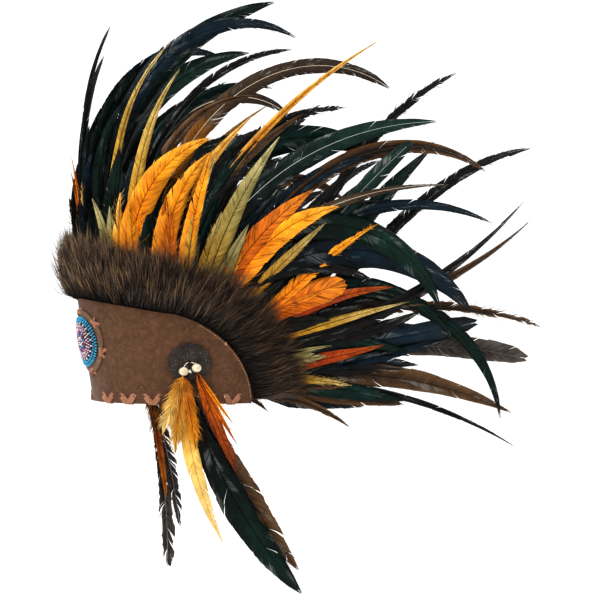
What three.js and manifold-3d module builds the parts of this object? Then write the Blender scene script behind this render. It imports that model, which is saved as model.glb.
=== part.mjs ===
// Feathered headdress: a suede band with fur and feathers along its top edge.
// Millimetres, +Z up. The wearer faces -Y and the wearer's left is +X.
// The origin is the centre of the head opening, level with the band's bottom edge.
import * as THREE from 'three';
import { mergeVertices } from 'three/addons/utils/BufferGeometryUtils.js';
import Module from 'manifold-3d';

const wasm = await Module();
wasm.setup();

// Head and band
const headLength = 190;
const headWidth = 156;
const bandHeight = 94;
const sideDrop = 12;
const cornerHeight = 3;
const bandReach = 103;
const cornerStart = 0.52;
const cornerRoundness = 1.7;
const frontFlare = 15;
const sideFlare = 8;
const rearSplay = 5;
const suedeWall = 2.2;
const clearance = 0.3;
const seamGap = 0.5;

// Lace holes along the bottom edge
const laceHoleDiameter = 3.2;
const laceHoleHeight = 7;
const laceHoleSpacing = 12;
const lacePitch = 24;
const laceCrossings = 6;

// Strap behind the head
const strapHeight = 12;
const strapBottom = 4;
const strapThickness = 2;
const strapOverlap = 22;
const strapTuck = 9;

// Fur strip
const hideThickness = 1.2;
const seamDepth = 9;
const furHeight = 48;
const furBulge = 12;
const frontFurBulge = 18;
const furLockPitch = 12;
const frontFurSpan = 62;

// Feathers
const backingThickness = 3;
const quillWidth = 2.2;
const tipWidth = 0.8;
const longFeather = 240;
const featherThickness = 1.4;
const featherWidth = 20;
const tailLength = 350;
const hackleLength = 200;
const sideSplay = 12;
const layerSpacing = 1.9;
const tailLayers = 5;

// Rosette on the front
const rosetteHeight = 55;
const backingDiameter = 57;
const backingLeather = 1.6;
const beadworkDiameter = 46;
const beadThickness = 1.8;
const rosetteDome = 3;

// Discs, beads and drops on the sides
const discDiameter = 36;
const discThickness = 2.5;
const discHoleDiameter = 5;
const discHeight = 37;
const leftDiscGirth = 106;
const rightDiscGirth = 124;
const beadDiameter = 8.5;
const beadBore = 2.6;
const beadSpread = 5.2;
const beadStep = 3;
const beadHang = 7;
const quillDiameter = 2;
const dropLength = 230;

const suede = { color: 0x5e4434, roughness: 0.95, metalness: 0 };
const fur = { color: 0x2b221b, roughness: 0.9, metalness: 0 };
const feather = { color: 0x1c2a22, roughness: 0.5, metalness: 0 };
const hackle = { color: 0xd07a1c, roughness: 0.6, metalness: 0 };
const strapLeather = { color: 0x3a2a20, roughness: 0.8, metalness: 0 };
const discLeather = { color: 0x39302d, roughness: 0.6, metalness: 0 };
const beadwork = { color: 0x2fa3c4, roughness: 0.3, metalness: 0 };
const paleWood = { color: 0xe3d6bd, roughness: 0.5, metalness: 0 };

// Tail feathers, front to rear. at: share of the band's half edge. from, to and bend: direction
// at root and tip in degrees above the rearward line, and the power that spreads the change.
// wave: extra direction at mid length. long and wide: shares of tailLength and featherWidth.
// lean: outward drift at the tip as a share of the feather's length.
const columns = ['at', 'from', 'to', 'bend', 'wave', 'long', 'wide', 'lean'];
const tailRows = [
  [0.02, 93, 52, 2.0, 0, 0.66, 0.30, 0.02],
  [0.06, 95, 34, 1.8, 0, 0.72, 0.75, 0.05],
  [0.13, 93, 8, 1.7, 0, 0.97, 0.95, 0.02],
  [0.19, 92, -16, 2.2, 0, 0.98, 0.85, 0.04],
  [0.22, 92, 42, 2.4, 0, 0.72, 0.45, 0.06],
  [0.25, 87, 2, 1.6, 0, 0.90, 0.45, 0.01],
  [0.28, 88, 52, 2.4, 0, 0.64, 0.55, 0.07],
  [0.33, 88, -12, 2.2, 0, 0.73, 0.60, 0.05],
  [0.31, 86, -34, 1.2, 0, 1.00, 0.75, 0.03],
  [0.37, 92, -32, 1.0, 0, 0.92, 1.05, 0.05],
  [0.42, 76, 30, 0.8, 0, 0.94, 0.40, 0.07],
  [0.53, 78, 0, 0.9, 0, 0.90, 0.95, 0.06],
  [0.62, 60, -42, 2.0, 0, 0.92, 0.65, 0.02],
  [0.60, 72, -76, 1.1, 0, 0.85, 0.90, 0.08],
  [0.66, 52, -30, 1.5, 0, 0.88, 0.55, 0.05],
  [0.67, 62, -56, 1.0, 0, 0.79, 1.05, 0.04],
  [0.68, 35, 22, 1.0, 28, 0.96, 0.60, 0.00],
  [0.70, 38, 42, 1.0, 8, 0.72, 0.70, 0.07],
  [0.73, 36, -88, 1.3, 0, 0.92, 0.60, 0.03],
  [0.75, 15, 24, 1.0, 29, 0.98, 0.60, 0.01],
  [0.78, 4, 50, 1.0, 0, 0.91, 0.50, 0.05],
  [0.80, 14, 46, 1.2, 0, 0.86, 0.45, 0.00],
  [0.79, 20, -22, 1.6, 0, 0.86, 0.60, 0.07],
  [0.84, 6, 12, 1.0, 0, 0.58, 0.70, 0.08],
  [0.86, 10, -22, 1.6, 0, 0.67, 0.90, 0.04],
  [0.90, 2, 18, 1.0, 0, 0.60, 0.55, 0.02],
  [0.92, 6, -24, 1.4, 0, 0.65, 0.90, 0.05],
  [0.94, 3, -34, 1.2, 0, 0.79, 0.35, 0.07],
  [0.96, -1, -8, 1.0, 0, 0.48, 0.95, 0.03],
  [0.76, 22, 8, 1.0, 0, 0.54, 1.00, 0.04],
];

// Hackles stand outside the tail feathers. long is a share of hackleLength.
const hackleRows = [
  [0.01, 93, 104, 1.2, 0, 0.66, 0.25, 0.03],
  [0.05, 86, 80, 1.0, 0, 0.60, 0.50, 0.10],
  [0.21, 96, 118, 1.4, 0, 0.50, 0.45, 0.16],
  [0.27, 87, 70, 1.2, 0, 0.68, 0.45, 0.10],
  [0.30, 96, 14, 1.6, 0, 0.92, 1.15, 0.15],
  [0.36, 80, 42, 1.0, 0, 1.02, 0.65, 0.10],
  [0.46, 99, 42, 1.4, 0, 0.78, 1.15, 0.12],
  [0.54, 92, 66, 1.2, 0, 0.76, 0.65, 0.10],
  [0.58, 76, 54, 1.2, 0, 0.92, 0.90, 0.15],
  [0.62, 66, 34, 1.2, 0, 0.80, 1.10, 0.12],
  [0.65, 70, 12, 1.2, 0, 0.84, 1.20, 0.17],
  [0.73, 28, 26, 1.0, 16, 0.90, 0.65, 0.12],
  [0.76, 40, 14, 1.2, 0, 0.62, 1.05, 0.17],
  [0.79, 36, 4, 1.2, 0, 0.82, 0.65, 0.14],
  [0.82, 22, 13, 1.0, 0, 0.86, 0.45, 0.11],
  [0.86, 14, 10, 1.0, 0, 0.46, 0.35, 0.14],
  [0.90, 8, 15, 1.0, 0, 0.70, 0.65, 0.16],
  [0.97, -4, -40, 1.4, 0, 0.56, 0.40, 0.10],
];

// Drop feathers. bead: 0 front, 1 rear. tilt: degrees rearward of straight down at root and tip.
// long is a share of dropLength, wide of featherWidth. out: outward shift at the tip.
const dropColumns = ['bead', 'tiltFrom', 'tiltTo', 'long', 'wide', 'out'];
const dropRowsLeft = [
  [0, -24, -16, 0.25, 0.80, 3],
  [0, -8, -5, 0.31, 1.05, 5],
  [0, 10, 8, 0.30, 0.95, 6],
  [0, 6, 18, 0.69, 0.75, 1],
  [0, 18, 37, 0.98, 0.85, -1],
  [1, 18, 26, 0.42, 0.90, 3],
];
const dropRowsRight = [
  [0, 14, 4, 0.55, 0.45, 1],
  [0, 20, 8, 0.84, 1.00, 0],
  [0, -4, 0, 0.27, 0.90, 4],
  [0, 12, 12, 0.30, 0.95, 5],
  [0, 4, 6, 0.72, 0.55, 2],
  [1, 20, 28, 0.38, 0.90, 3],
];

const up = new THREE.Vector3(0, 0, 1);
const radians = THREE.MathUtils.degToRad;
const patchSides = 20;

function columnsToRows(names, table) {
  return table.map((row) => Object.fromEntries(names.map((name, index) => [name, row[index]])));
}

function interpolate(value, from, to) {
  const last = from.length - 1;
  if (value <= from[0]) return to[0];
  if (value >= from[last]) return to[last];
  const high = from.findIndex((entry) => entry >= value);
  const share = (value - from[high - 1]) / (from[high] - from[high - 1]);
  return to[high - 1] + share * (to[high] - to[high - 1]);
}

// The wall's outward direction in plan, angle in degrees from the centre front
function wallNormal(angle, height) {
  const rise = height / bandHeight;
  const halfWidth = headWidth / 2 + sideFlare * rise;
  const halfLength = headLength / 2 + frontFlare * rise;
  const turn = radians(angle);
  return new THREE.Vector3(Math.sin(turn) / halfWidth, -Math.cos(turn) / halfLength, 0).normalize();
}

// A point of the wall: offset 0 is the band's inner face
function wallPoint(angle, height, offset) {
  const rise = height / bandHeight;
  const turn = radians(angle);
  const splayed = rearSplay * THREE.MathUtils.smoothstep(Math.abs(angle), 60, 110);
  const point = new THREE.Vector3(
    (headWidth / 2 + sideFlare * rise) * Math.sin(turn),
    -(headLength / 2 + frontFlare * rise) * Math.cos(turn),
    height,
  );
  return point.addScaledVector(wallNormal(angle, height), offset + splayed);
}

// Girth is measured along the bottom edge's outer face from the centre front
const angleSteps = Array.from({ length: bandReach + 1 }, (unused, degree) => degree);
const girthSteps = [0];
for (let step = 1; step <= bandReach; step += 1) {
  const length = wallPoint(step, 0, suedeWall).distanceTo(wallPoint(step - 1, 0, suedeWall));
  girthSteps.push(girthSteps[step - 1] + length);
}
const halfGirth = girthSteps[bandReach];

function angleAt(girth) {
  return Math.sign(girth) * interpolate(Math.abs(girth), girthSteps, angleSteps);
}

function bandPoint(girth, height, offset) {
  return wallPoint(angleAt(girth), height, offset);
}

// The top edge falls gently from the front and then rounds down to the rear corner
function edgeHeight(girth) {
  const share = Math.min(1, Math.abs(girth) / halfGirth);
  const shoulder = bandHeight - sideDrop;
  if (share <= cornerStart) return bandHeight - sideDrop * (share / cornerStart) ** 1.4;
  const past = (share - cornerStart) / (1 - cornerStart);
  const fall = (1 - past ** cornerRoundness) ** (1 / cornerRoundness);
  return cornerHeight + (shoulder - cornerHeight) * fall;
}

// Places along the top edge are shares of its half length
const edgeGirths = Array.from({ length: 241 }, (unused, step) => halfGirth * (1 - (1 - step / 240) ** 1.8));
const edgeLengths = [0];
for (let step = 1; step < edgeGirths.length; step += 1) {
  const here = bandPoint(edgeGirths[step], edgeHeight(edgeGirths[step]), suedeWall);
  const before = bandPoint(edgeGirths[step - 1], edgeHeight(edgeGirths[step - 1]), suedeWall);
  edgeLengths.push(edgeLengths[step - 1] + here.distanceTo(before));
}
const halfEdge = edgeLengths[edgeLengths.length - 1];

function edgeGirth(share) {
  return Math.sign(share) * interpolate(Math.abs(share) * halfEdge, edgeLengths, edgeGirths);
}

// Feathers and fur grow rearward in planes that splay towards the sides
function rearward(share) {
  const splay = radians(sideSplay) * THREE.MathUtils.smoothstep(Math.abs(share), 0, 0.5);
  return new THREE.Vector3(Math.sign(share) * Math.sin(splay), Math.cos(splay), 0);
}

function growthDirection(share, degrees) {
  const along = rearward(share).multiplyScalar(Math.cos(radians(degrees)));
  return along.addScaledVector(up, Math.sin(radians(degrees)));
}

// The fur stands straight up at the front and lies rearward at the corner
function furAngle(share) {
  return 90 * (1 - THREE.MathUtils.smoothstep(Math.abs(share), 0.2, 1.08));
}

// A point of the sewn seam inside the edge, which follows the wall: along is negative there
function seamPoint(share, along, offset) {
  const girth = edgeGirth(share);
  const turn = radians(furAngle(share));
  const height = Math.max(1, edgeHeight(girth) + along * Math.sin(turn));
  return bandPoint(girth + Math.sign(share) * along * Math.cos(turn), height, offset);
}

function edgeNormal(share) {
  const girth = edgeGirth(share);
  return wallNormal(angleAt(girth), edgeHeight(girth));
}

// Hair lies flat to the band where it is sewn
function hairDirection(share) {
  const normal = edgeNormal(share);
  const tangent = new THREE.Vector3(-normal.y, normal.x, 0).multiplyScalar(share < 0 ? -1 : 1);
  const turn = radians(furAngle(share));
  return tangent.multiplyScalar(Math.cos(turn)).addScaledVector(up, Math.sin(turn));
}

function geometryFrom(points, faces) {
  const geometry = new THREE.BufferGeometry();
  const numbers = points.flatMap((point) => [point.x, point.y, point.z]);
  geometry.setAttribute('position', new THREE.Float32BufferAttribute(numbers, 3));
  geometry.setIndex(faces.flat());
  return geometry;
}

// Sections are rings of as many points each, in order along the piece. Both ends are capped.
function skin(sections) {
  const size = sections[0].length;
  const points = sections.flat();
  const faces = [];
  for (let row = 0; row + 1 < sections.length; row += 1) {
    for (let corner = 0; corner < size; corner += 1) {
      const next = (corner + 1) % size;
      const low = row * size;
      const high = low + size;
      faces.push([low + corner, low + next, high + next]);
      faces.push([low + corner, high + next, high + corner]);
    }
  }
  const last = (sections.length - 1) * size;
  const flat = THREE.ShapeUtils.triangulateShape(flatten(sections[0]), []);
  const flatEnd = THREE.ShapeUtils.triangulateShape(flatten(sections[sections.length - 1]), []);
  flat.forEach(([a, b, c]) => faces.push([a, c, b]));
  flatEnd.forEach(([a, b, c]) => faces.push([last + a, last + b, last + c]));
  return outwardFacing(geometryFrom(points, faces));
}

// A ring of points as a flat outline, for its end cap
function flatten(ring) {
  const centre = ring.reduce((sum, point) => sum.add(point), new THREE.Vector3()).divideScalar(ring.length);
  const first = ring.reduce((far, point) => (point.distanceTo(centre) > far.distanceTo(centre) ? point : far));
  const across = first.clone().sub(centre).normalize();
  const normal = new THREE.Vector3();
  ring.forEach((point, index) => {
    const next = ring[(index + 1) % ring.length];
    normal.add(point.clone().sub(centre).cross(next.clone().sub(centre)));
  });
  const upright = normal.normalize().cross(across);
  return ring.map((point) => {
    const arm = point.clone().sub(centre);
    return new THREE.Vector2(arm.dot(across), arm.dot(upright));
  });
}

function volumeOf(geometry) {
  const place = geometry.getAttribute('position');
  const index = geometry.getIndex().array;
  const corner = (number) => new THREE.Vector3().fromBufferAttribute(place, index[number]);
  let volume = 0;
  for (let start = 0; start < index.length; start += 3) {
    volume += corner(start).dot(corner(start + 1).cross(corner(start + 2))) / 6;
  }
  return volume;
}

function outwardFacing(geometry) {
  if (volumeOf(geometry) > 0) return geometry;
  const index = Array.from(geometry.getIndex().array);
  for (let start = 0; start < index.length; start += 3) {
    [index[start], index[start + 1]] = [index[start + 1], index[start]];
  }
  geometry.setIndex(index);
  return geometry;
}

function solidOf(geometry) {
  const bare = geometry.clone();
  bare.deleteAttribute('normal');
  bare.deleteAttribute('uv');
  const merged = mergeVertices(bare, 1e-4);
  return new wasm.Manifold(new wasm.Mesh({
    numProp: 3,
    vertProperties: new Float32Array(merged.getAttribute('position').array),
    triVerts: new Uint32Array(merged.getIndex().array),
  }));
}

function geometryOf(solid) {
  const mesh = solid.getMesh();
  const geometry = new THREE.BufferGeometry();
  geometry.setAttribute('position', new THREE.BufferAttribute(new Float32Array(mesh.vertProperties), 3));
  geometry.setIndex(Array.from(mesh.triVerts));
  return geometry;
}

// Crossing feathers can enclose a small pocket, whose inward shell is left out
function withoutPockets(geometry) {
  const index = Array.from(geometry.getIndex().array);
  const parent = Array.from({ length: geometry.getAttribute('position').count }, (unused, vertex) => vertex);
  const leader = (vertex) => {
    let found = vertex;
    while (parent[found] !== found) found = parent[found];
    parent[vertex] = found;
    return found;
  };
  for (let start = 0; start < index.length; start += 3) {
    parent[leader(index[start])] = leader(index[start + 1]);
    parent[leader(index[start + 1])] = leader(index[start + 2]);
  }
  const shells = new Map();
  for (let start = 0; start < index.length; start += 3) {
    const shell = leader(index[start]);
    shells.set(shell, [...(shells.get(shell) ?? []), ...index.slice(start, start + 3)]);
  }
  const kept = [...shells.values()].filter((faces) => {
    const shell = geometry.clone();
    shell.setIndex(faces);
    return volumeOf(shell) > 0;
  });
  geometry.setIndex(kept.flat());
  return geometry;
}

function joined(geometries) {
  return withoutPockets(geometryOf(geometries.map(solidOf).reduce((whole, solid) => whole.add(solid))));
}

function named(name, geometry, finish) {
  geometry.computeVertexNormals();
  const mesh = new THREE.Mesh(geometry, new THREE.MeshStandardMaterial(finish));
  mesh.name = name;
  return mesh;
}

function range(from, to, steps) {
  return Array.from({ length: steps + 1 }, (unused, step) => from + ((to - from) * step) / steps);
}

// Lace holes, in pairs, where the edge lacing passes through the suede
function laceHoleGirths() {
  const girths = [];
  for (let crossing = 0; crossing < laceCrossings; crossing += 1) {
    const middle = lacePitch * (crossing + 0.5) + laceHoleSpacing;
    girths.push(middle - laceHoleSpacing / 2, middle + laceHoleSpacing / 2);
  }
  return girths.flatMap((girth) => [girth, -girth]);
}

function headband() {
  const sections = range(-1, 1, 34).map((share) => {
    const girth = edgeGirth(share);
    const heights = range(0, edgeHeight(girth), 3);
    const outer = heights.map((height) => bandPoint(girth, height, suedeWall));
    const inner = heights.map((height) => bandPoint(girth, height, 0)).reverse();
    return [...outer, ...inner];
  });
  let solid = solidOf(skin(sections));
  laceHoleGirths().forEach((girth) => {
    const bore = new THREE.CylinderGeometry(laceHoleDiameter / 2, laceHoleDiameter / 2, 6 * suedeWall, 6);
    const normal = wallNormal(angleAt(girth), laceHoleHeight);
    const turn = new THREE.Quaternion().setFromUnitVectors(new THREE.Vector3(0, 1, 0), normal);
    bore.applyQuaternion(turn);
    const centre = bandPoint(girth, laceHoleHeight, suedeWall / 2);
    bore.translate(centre.x, centre.y, centre.z);
    solid = solid.subtract(solidOf(bore));
  });
  return named('headband', geometryOf(solid), suede);
}

function backStrap() {
  const seat = -(seamGap + hideThickness + backingThickness + 2 * clearance);
  const start = angleAt(halfGirth - strapOverlap);
  const sections = range(start, 360 - start, 26).map((angle) => {
    const folded = angle > 180 ? angle - 360 : angle;
    const top = strapBottom + strapHeight;
    const tuckedIn = THREE.MathUtils.smoothstep(Math.abs(folded), bandReach - 3, bandReach + 12);
    const eased = THREE.MathUtils.smoothstep(Math.abs(folded), bandReach + 20, bandReach + 52);
    const tuck = strapTuck * (tuckedIn - eased);
    const outerFace = seat - tuck;
    const inner = outerFace - strapThickness;
    return [
      wallPoint(folded, strapBottom, outerFace),
      wallPoint(folded, top, outerFace),
      wallPoint(folded, top, inner),
      wallPoint(folded, strapBottom, inner),
    ];
  });
  return named('back_strap', skin(sections), strapLeather);
}

// The fur's section: distance from the edge along the hair, and outward from the inner face
function furSection(share, lock) {
  const front = 1 - THREE.MathUtils.smoothstep(Math.abs(share), 0.1, 0.5);
  const bulge = furBulge + (frontFurBulge - furBulge) * front;
  const reach = furHeight * (1 + 0.12 * front) * lock;
  const outerHide = -seamGap;
  const innerHide = -seamGap - hideThickness;
  const profile = [
    [0.8, outerHide],
    [3, suedeWall + 2.8],
    [0.3 * reach, bulge * (0.6 + 0.4 * lock)],
    [0.65 * reach, bulge * lock],
    [reach, 0.5 * bulge],
    [0.3 * reach, 1.2],
  ];
  const root = seamPoint(share, 0, 0);
  const hair = hairDirection(share);
  const outward = edgeNormal(share);
  const pile = profile.map(([along, out]) => (
    root.clone().addScaledVector(hair, along).addScaledVector(outward, out)
  ));
  return [seamPoint(share, -seamDepth, outerHide), ...pile, seamPoint(share, -seamDepth, innerHide)];
}

function furTrim(name, from, to) {
  const locks = 2 * Math.round((Math.abs(to - from) * halfEdge) / furLockPitch);
  const sections = range(from, to, locks).map((share, index) => furSection(share, index % 2 ? 1 : 0.8));
  return named(name, skin(sections), fur);
}

// A feather's stations along its length, and its width there as a share of its full width
const longVane = [[0, 0], [0.12, 0.2], [0.34, 0.9], [0.6, 1], [0.84, 0.62], [1, 0]];
const shortVane = [[0, 0], [0.2, 0.5], [0.5, 1], [0.8, 0.7], [1, 0]];

// A feather leaves the seam behind the fur, clear of it, and then bends in its own plane
function featherPath(row, length) {
  const side = Math.sign(row.at);
  const depth = -seamGap - clearance - hideThickness - backingThickness / 2;
  const edge = seamPoint(row.at, 0, depth);
  const edgeOutward = edgeNormal(row.at);
  const along = rearward(row.at);
  const outward = new THREE.Vector3(side * along.y, -side * along.x, 0);
  const steps = 42;
  const point = edge.clone();
  const path = [];
  for (let step = 0; step <= steps; step += 1) {
    const share = step / steps;
    const degrees = row.from + (row.to - row.from) * share ** row.bend + row.wave * Math.sin(Math.PI * share);
    const heading = growthDirection(row.at, degrees);
    const across = heading.clone().cross(outward).normalize();
    const travelled = length * share;
    const free = Math.max(0, travelled - furHeight);
    const proud = point.clone().sub(edge).dot(edgeOutward) - 0.03 * travelled - free;
    if (proud > 0) point.addScaledVector(edgeOutward, -proud);
    const drift = row.lean * free * share - row.inward * THREE.MathUtils.smoothstep(travelled, 0, 25);
    path.push({ share, across, outward, point: point.clone().addScaledVector(outward, drift) });
    point.addScaledVector(heading, length / steps);
  }
  path[0].point.copy(seamPoint(row.at, -0.5 * seamDepth, depth));
  return path;
}

// A blade is flat on its inner side, with a crown along its quill
function blade(path, width, vane) {
  const sections = vane.map(([share, widthShare]) => {
    const station = path[Math.round(share * (path.length - 1))];
    const tip = share === 1;
    const half = tip ? tipWidth / 2 : Math.max(quillWidth, widthShare * width) / 2;
    const crown = tip ? tipWidth / 2 : featherThickness;
    return [
      station.point.clone().addScaledVector(station.across, half),
      station.point.clone().addScaledVector(station.outward, crown),
      station.point.clone().addScaledVector(station.across, -half),
    ];
  });
  return skin(sections);
}

// The strip behind the fur that the quills are sewn to
function featherBacking(side) {
  const outer = -seamGap - clearance - hideThickness;
  const inner = outer - backingThickness;
  const sections = range(0.006, 1, 16).map((share) => {
    const place = side * share;
    return [
      seamPoint(place, -seamDepth, outer),
      seamPoint(place, -1, outer),
      seamPoint(place, -1, inner),
      seamPoint(place, -seamDepth, inner),
    ];
  });
  return skin(sections);
}

// The right side repeats the left a little shorter, with its directions eased
function plumeRows(table, side) {
  return columnsToRows(columns, table).map((row, index) => {
    if (side > 0) return row;
    const turn = 3 * Math.sin(2.4 * index);
    return { ...row, at: -row.at, from: row.from + turn, to: row.to + 2 * turn, long: 0.9 * row.long };
  });
}

// Tail feathers lie in layers inside the hackles
function plume(name, side) {
  const tails = plumeRows(tailRows, side).map((row, index) => (
    [{ ...row, inward: layerSpacing * (1 + (index % tailLayers)) }, tailLength * row.long]
  ));
  const hackles = plumeRows(hackleRows, side).map((row) => [{ ...row, inward: 0 }, hackleLength * row.long]);
  const blades = [...tails, ...hackles].map(([row, length]) => (
    blade(featherPath(row, length), featherWidth * row.wide, length > longFeather ? longVane : shortVane)
  ));
  return named(name, joined([featherBacking(side), ...blades]), feather);
}

// A round patch that lies on the band: rings of radius share and offset, front face then back
function patch(centreGirth, centreHeight, rings, sides) {
  const ringPoints = rings.map(([radius, offset]) => range(0, 360, sides).slice(0, -1).map((turn) => {
    const across = radius * Math.cos(radians(turn));
    const rise = radius * Math.sin(radians(turn));
    return bandPoint(centreGirth + across, centreHeight + rise, offset);
  }));
  return ringPoints;
}

function roundSolid(centreGirth, centreHeight, frontRings, backRings, sides) {
  const rings = patch(centreGirth, centreHeight, [...frontRings, ...backRings.reverse()], sides);
  const points = rings.flat();
  const faces = [];
  for (let row = 0; row + 1 < rings.length; row += 1) {
    for (let corner = 0; corner < sides; corner += 1) {
      const next = (corner + 1) % sides;
      const low = row * sides;
      const high = low + sides;
      faces.push([low + corner, low + next, high + next]);
      faces.push([low + corner, high + next, high + corner]);
    }
  }
  return { points, faces, rings, sides };
}

function closedPatch(centreGirth, centreHeight, frontRings, backRings, sides) {
  const { points, faces } = roundSolid(centreGirth, centreHeight, frontRings, backRings, sides);
  const tips = [
    bandPoint(centreGirth, centreHeight, frontRings[0][1]),
    bandPoint(centreGirth, centreHeight, backRings[backRings.length - 1][1]),
  ];
  const first = points.length;
  const last = points.length - sides;
  for (let corner = 0; corner < sides; corner += 1) {
    const next = (corner + 1) % sides;
    faces.push([first, next, corner]);
    faces.push([first + 1, last + corner, last + next]);
  }
  return outwardFacing(geometryFrom([...points, ...tips], faces));
}

function ringPatch(centreGirth, centreHeight, frontRings, backRings, sides) {
  const { points, faces } = roundSolid(centreGirth, centreHeight, frontRings, backRings, sides);
  const last = points.length - sides;
  for (let corner = 0; corner < sides; corner += 1) {
    const next = (corner + 1) % sides;
    faces.push([last + corner, last + next, next]);
    faces.push([last + corner, next, corner]);
  }
  return outwardFacing(geometryFrom(points, faces));
}

function rosetteBacking() {
  const radius = backingDiameter / 2;
  const back = suedeWall + clearance;
  const front = back + backingLeather;
  const shares = [0.34, 0.67, 1];
  const frontRings = shares.map((share) => [share * radius, front]);
  const backRings = shares.map((share) => [share * radius, back]).reverse();
  return named('rosette_backing', closedPatch(0, rosetteHeight, frontRings, backRings.reverse(), patchSides), suede);
}

function rosetteBeadwork() {
  const radius = beadworkDiameter / 2;
  const back = suedeWall + backingLeather + 2 * clearance;
  const shares = [0.4, 0.75, 0.96];
  const frontRings = shares.map((share) => [share * radius, back + beadThickness + rosetteDome * (1 - share ** 2)]);
  frontRings.push([radius, back + beadThickness / 2]);
  const backRings = [0.5, 0.97].map((share) => [share * radius, back]);
  return named('rosette_beadwork', closedPatch(0, rosetteHeight, frontRings, backRings, patchSides), beadwork);
}

function sideDisc(name, side) {
  const radius = discDiameter / 2;
  const hole = discHoleDiameter / 2;
  const back = suedeWall + clearance;
  const front = back + discThickness;
  const frontRings = [[hole, front - 0.4], [radius, front]];
  const backRings = [[hole, back], [radius, back]];
  return named(name, ringPatch(discGirth(side), discHeight, frontRings, backRings, patchSides), discLeather);
}

// The right disc sits a little further back than the left one
function discGirth(side) {
  return side > 0 ? leftDiscGirth : -rightDiscGirth;
}

// The two beads of a drop hang side by side against the disc
function beadCentre(side, index) {
  const girth = discGirth(side) + side * (index ? beadSpread : -beadSpread);
  const height = discHeight - beadHang + (index ? beadStep : 0);
  const offset = suedeWall + 2 * clearance + discThickness + beadDiameter / 2;
  return bandPoint(girth, height, offset);
}

function bead(name, side, index) {
  const radius = beadDiameter / 2;
  const bore = beadBore / 2;
  const edge = Math.acos(bore / radius);
  const profile = range(-edge, edge, 5).map((turn) => (
    new THREE.Vector2(radius * Math.cos(turn), radius * Math.sin(turn))
  ));
  profile.push(profile[0].clone());
  const geometry = new THREE.LatheGeometry(profile, 10);
  geometry.rotateX(Math.PI / 2);
  const centre = beadCentre(side, index);
  geometry.translate(centre.x, centre.y, centre.z);
  return named(name, geometryOf(solidOf(geometry)), paleWood);
}

function dropPath(row, side) {
  const centre = beadCentre(side, row.bead);
  const angle = angleAt(discGirth(side));
  const outward = wallNormal(angle, 0);
  const along = new THREE.Vector3(-outward.y, outward.x, 0).multiplyScalar(side);
  const length = dropLength * row.long;
  const point = centre.clone().addScaledVector(up, -beadDiameter / 2 - 2);
  const steps = 42;
  const path = [];
  for (let step = 0; step <= steps; step += 1) {
    const share = step / steps;
    const tilt = radians(row.tiltFrom + (row.tiltTo - row.tiltFrom) * share);
    const heading = along.clone().multiplyScalar(Math.sin(tilt)).addScaledVector(up, -Math.cos(tilt));
    const across = heading.clone().cross(outward).normalize();
    path.push({ share, across, outward, point: point.clone().addScaledVector(outward, row.out * share) });
    point.addScaledVector(heading, length / steps);
  }
  return path;
}

// The bound quills of a drop stand in its bead's bore
function quill(side, index) {
  const centre = beadCentre(side, index);
  const length = beadDiameter / 2 + 4;
  const pin = new THREE.CylinderGeometry(quillDiameter / 2, quillDiameter / 2, length, 6);
  pin.rotateX(Math.PI / 2);
  pin.translate(centre.x, centre.y, centre.z - length / 2 + 1);
  return pin;
}

function dropFeathers(name, side, index, table) {
  const rows = columnsToRows(dropColumns, table).filter((row) => row.bead === index);
  const blades = rows.map((row) => (
    blade(dropPath(row, side), featherWidth * row.wide, row.long > 0.5 ? longVane : shortVane)
  ));
  return named(name, joined([quill(side, index), ...blades]), hackle);
}

const headdress = new THREE.Group();
const frontShare = frontFurSpan / halfEdge;
const furGap = 1.4 / halfEdge;
headdress.add(headband(), backStrap());
headdress.add(furTrim('fur_trim_front', -frontShare, frontShare));
headdress.add(furTrim('fur_trim_left', frontShare + furGap, 1));
headdress.add(furTrim('fur_trim_right', -frontShare - furGap, -1));
headdress.add(plume('plume_left', 1), plume('plume_right', -1));
headdress.add(rosetteBacking(), rosetteBeadwork());
[['left', 1, dropRowsLeft], ['right', -1, dropRowsRight]].forEach(([word, side, rows]) => {
  headdress.add(sideDisc(`disc_${word}`, side));
  ['front', 'rear'].forEach((place, index) => {
    headdress.add(bead(`bead_${word}_${place}`, side, index));
    headdress.add(dropFeathers(`drop_feathers_${word}_${place}`, side, index, rows));
  });
});

export default headdress;
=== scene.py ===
"""Feathered headdress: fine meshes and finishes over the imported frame.

Lengths inside the script are millimetres, with +Z up. The wearer faces -Y and the wearer's left
is +X. The origin is the centre of the head opening, level with the band's bottom edge.
"""
import logging
import math
from dataclasses import dataclass, field
from enum import Enum
from typing import Any, Callable, Sequence

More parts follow.
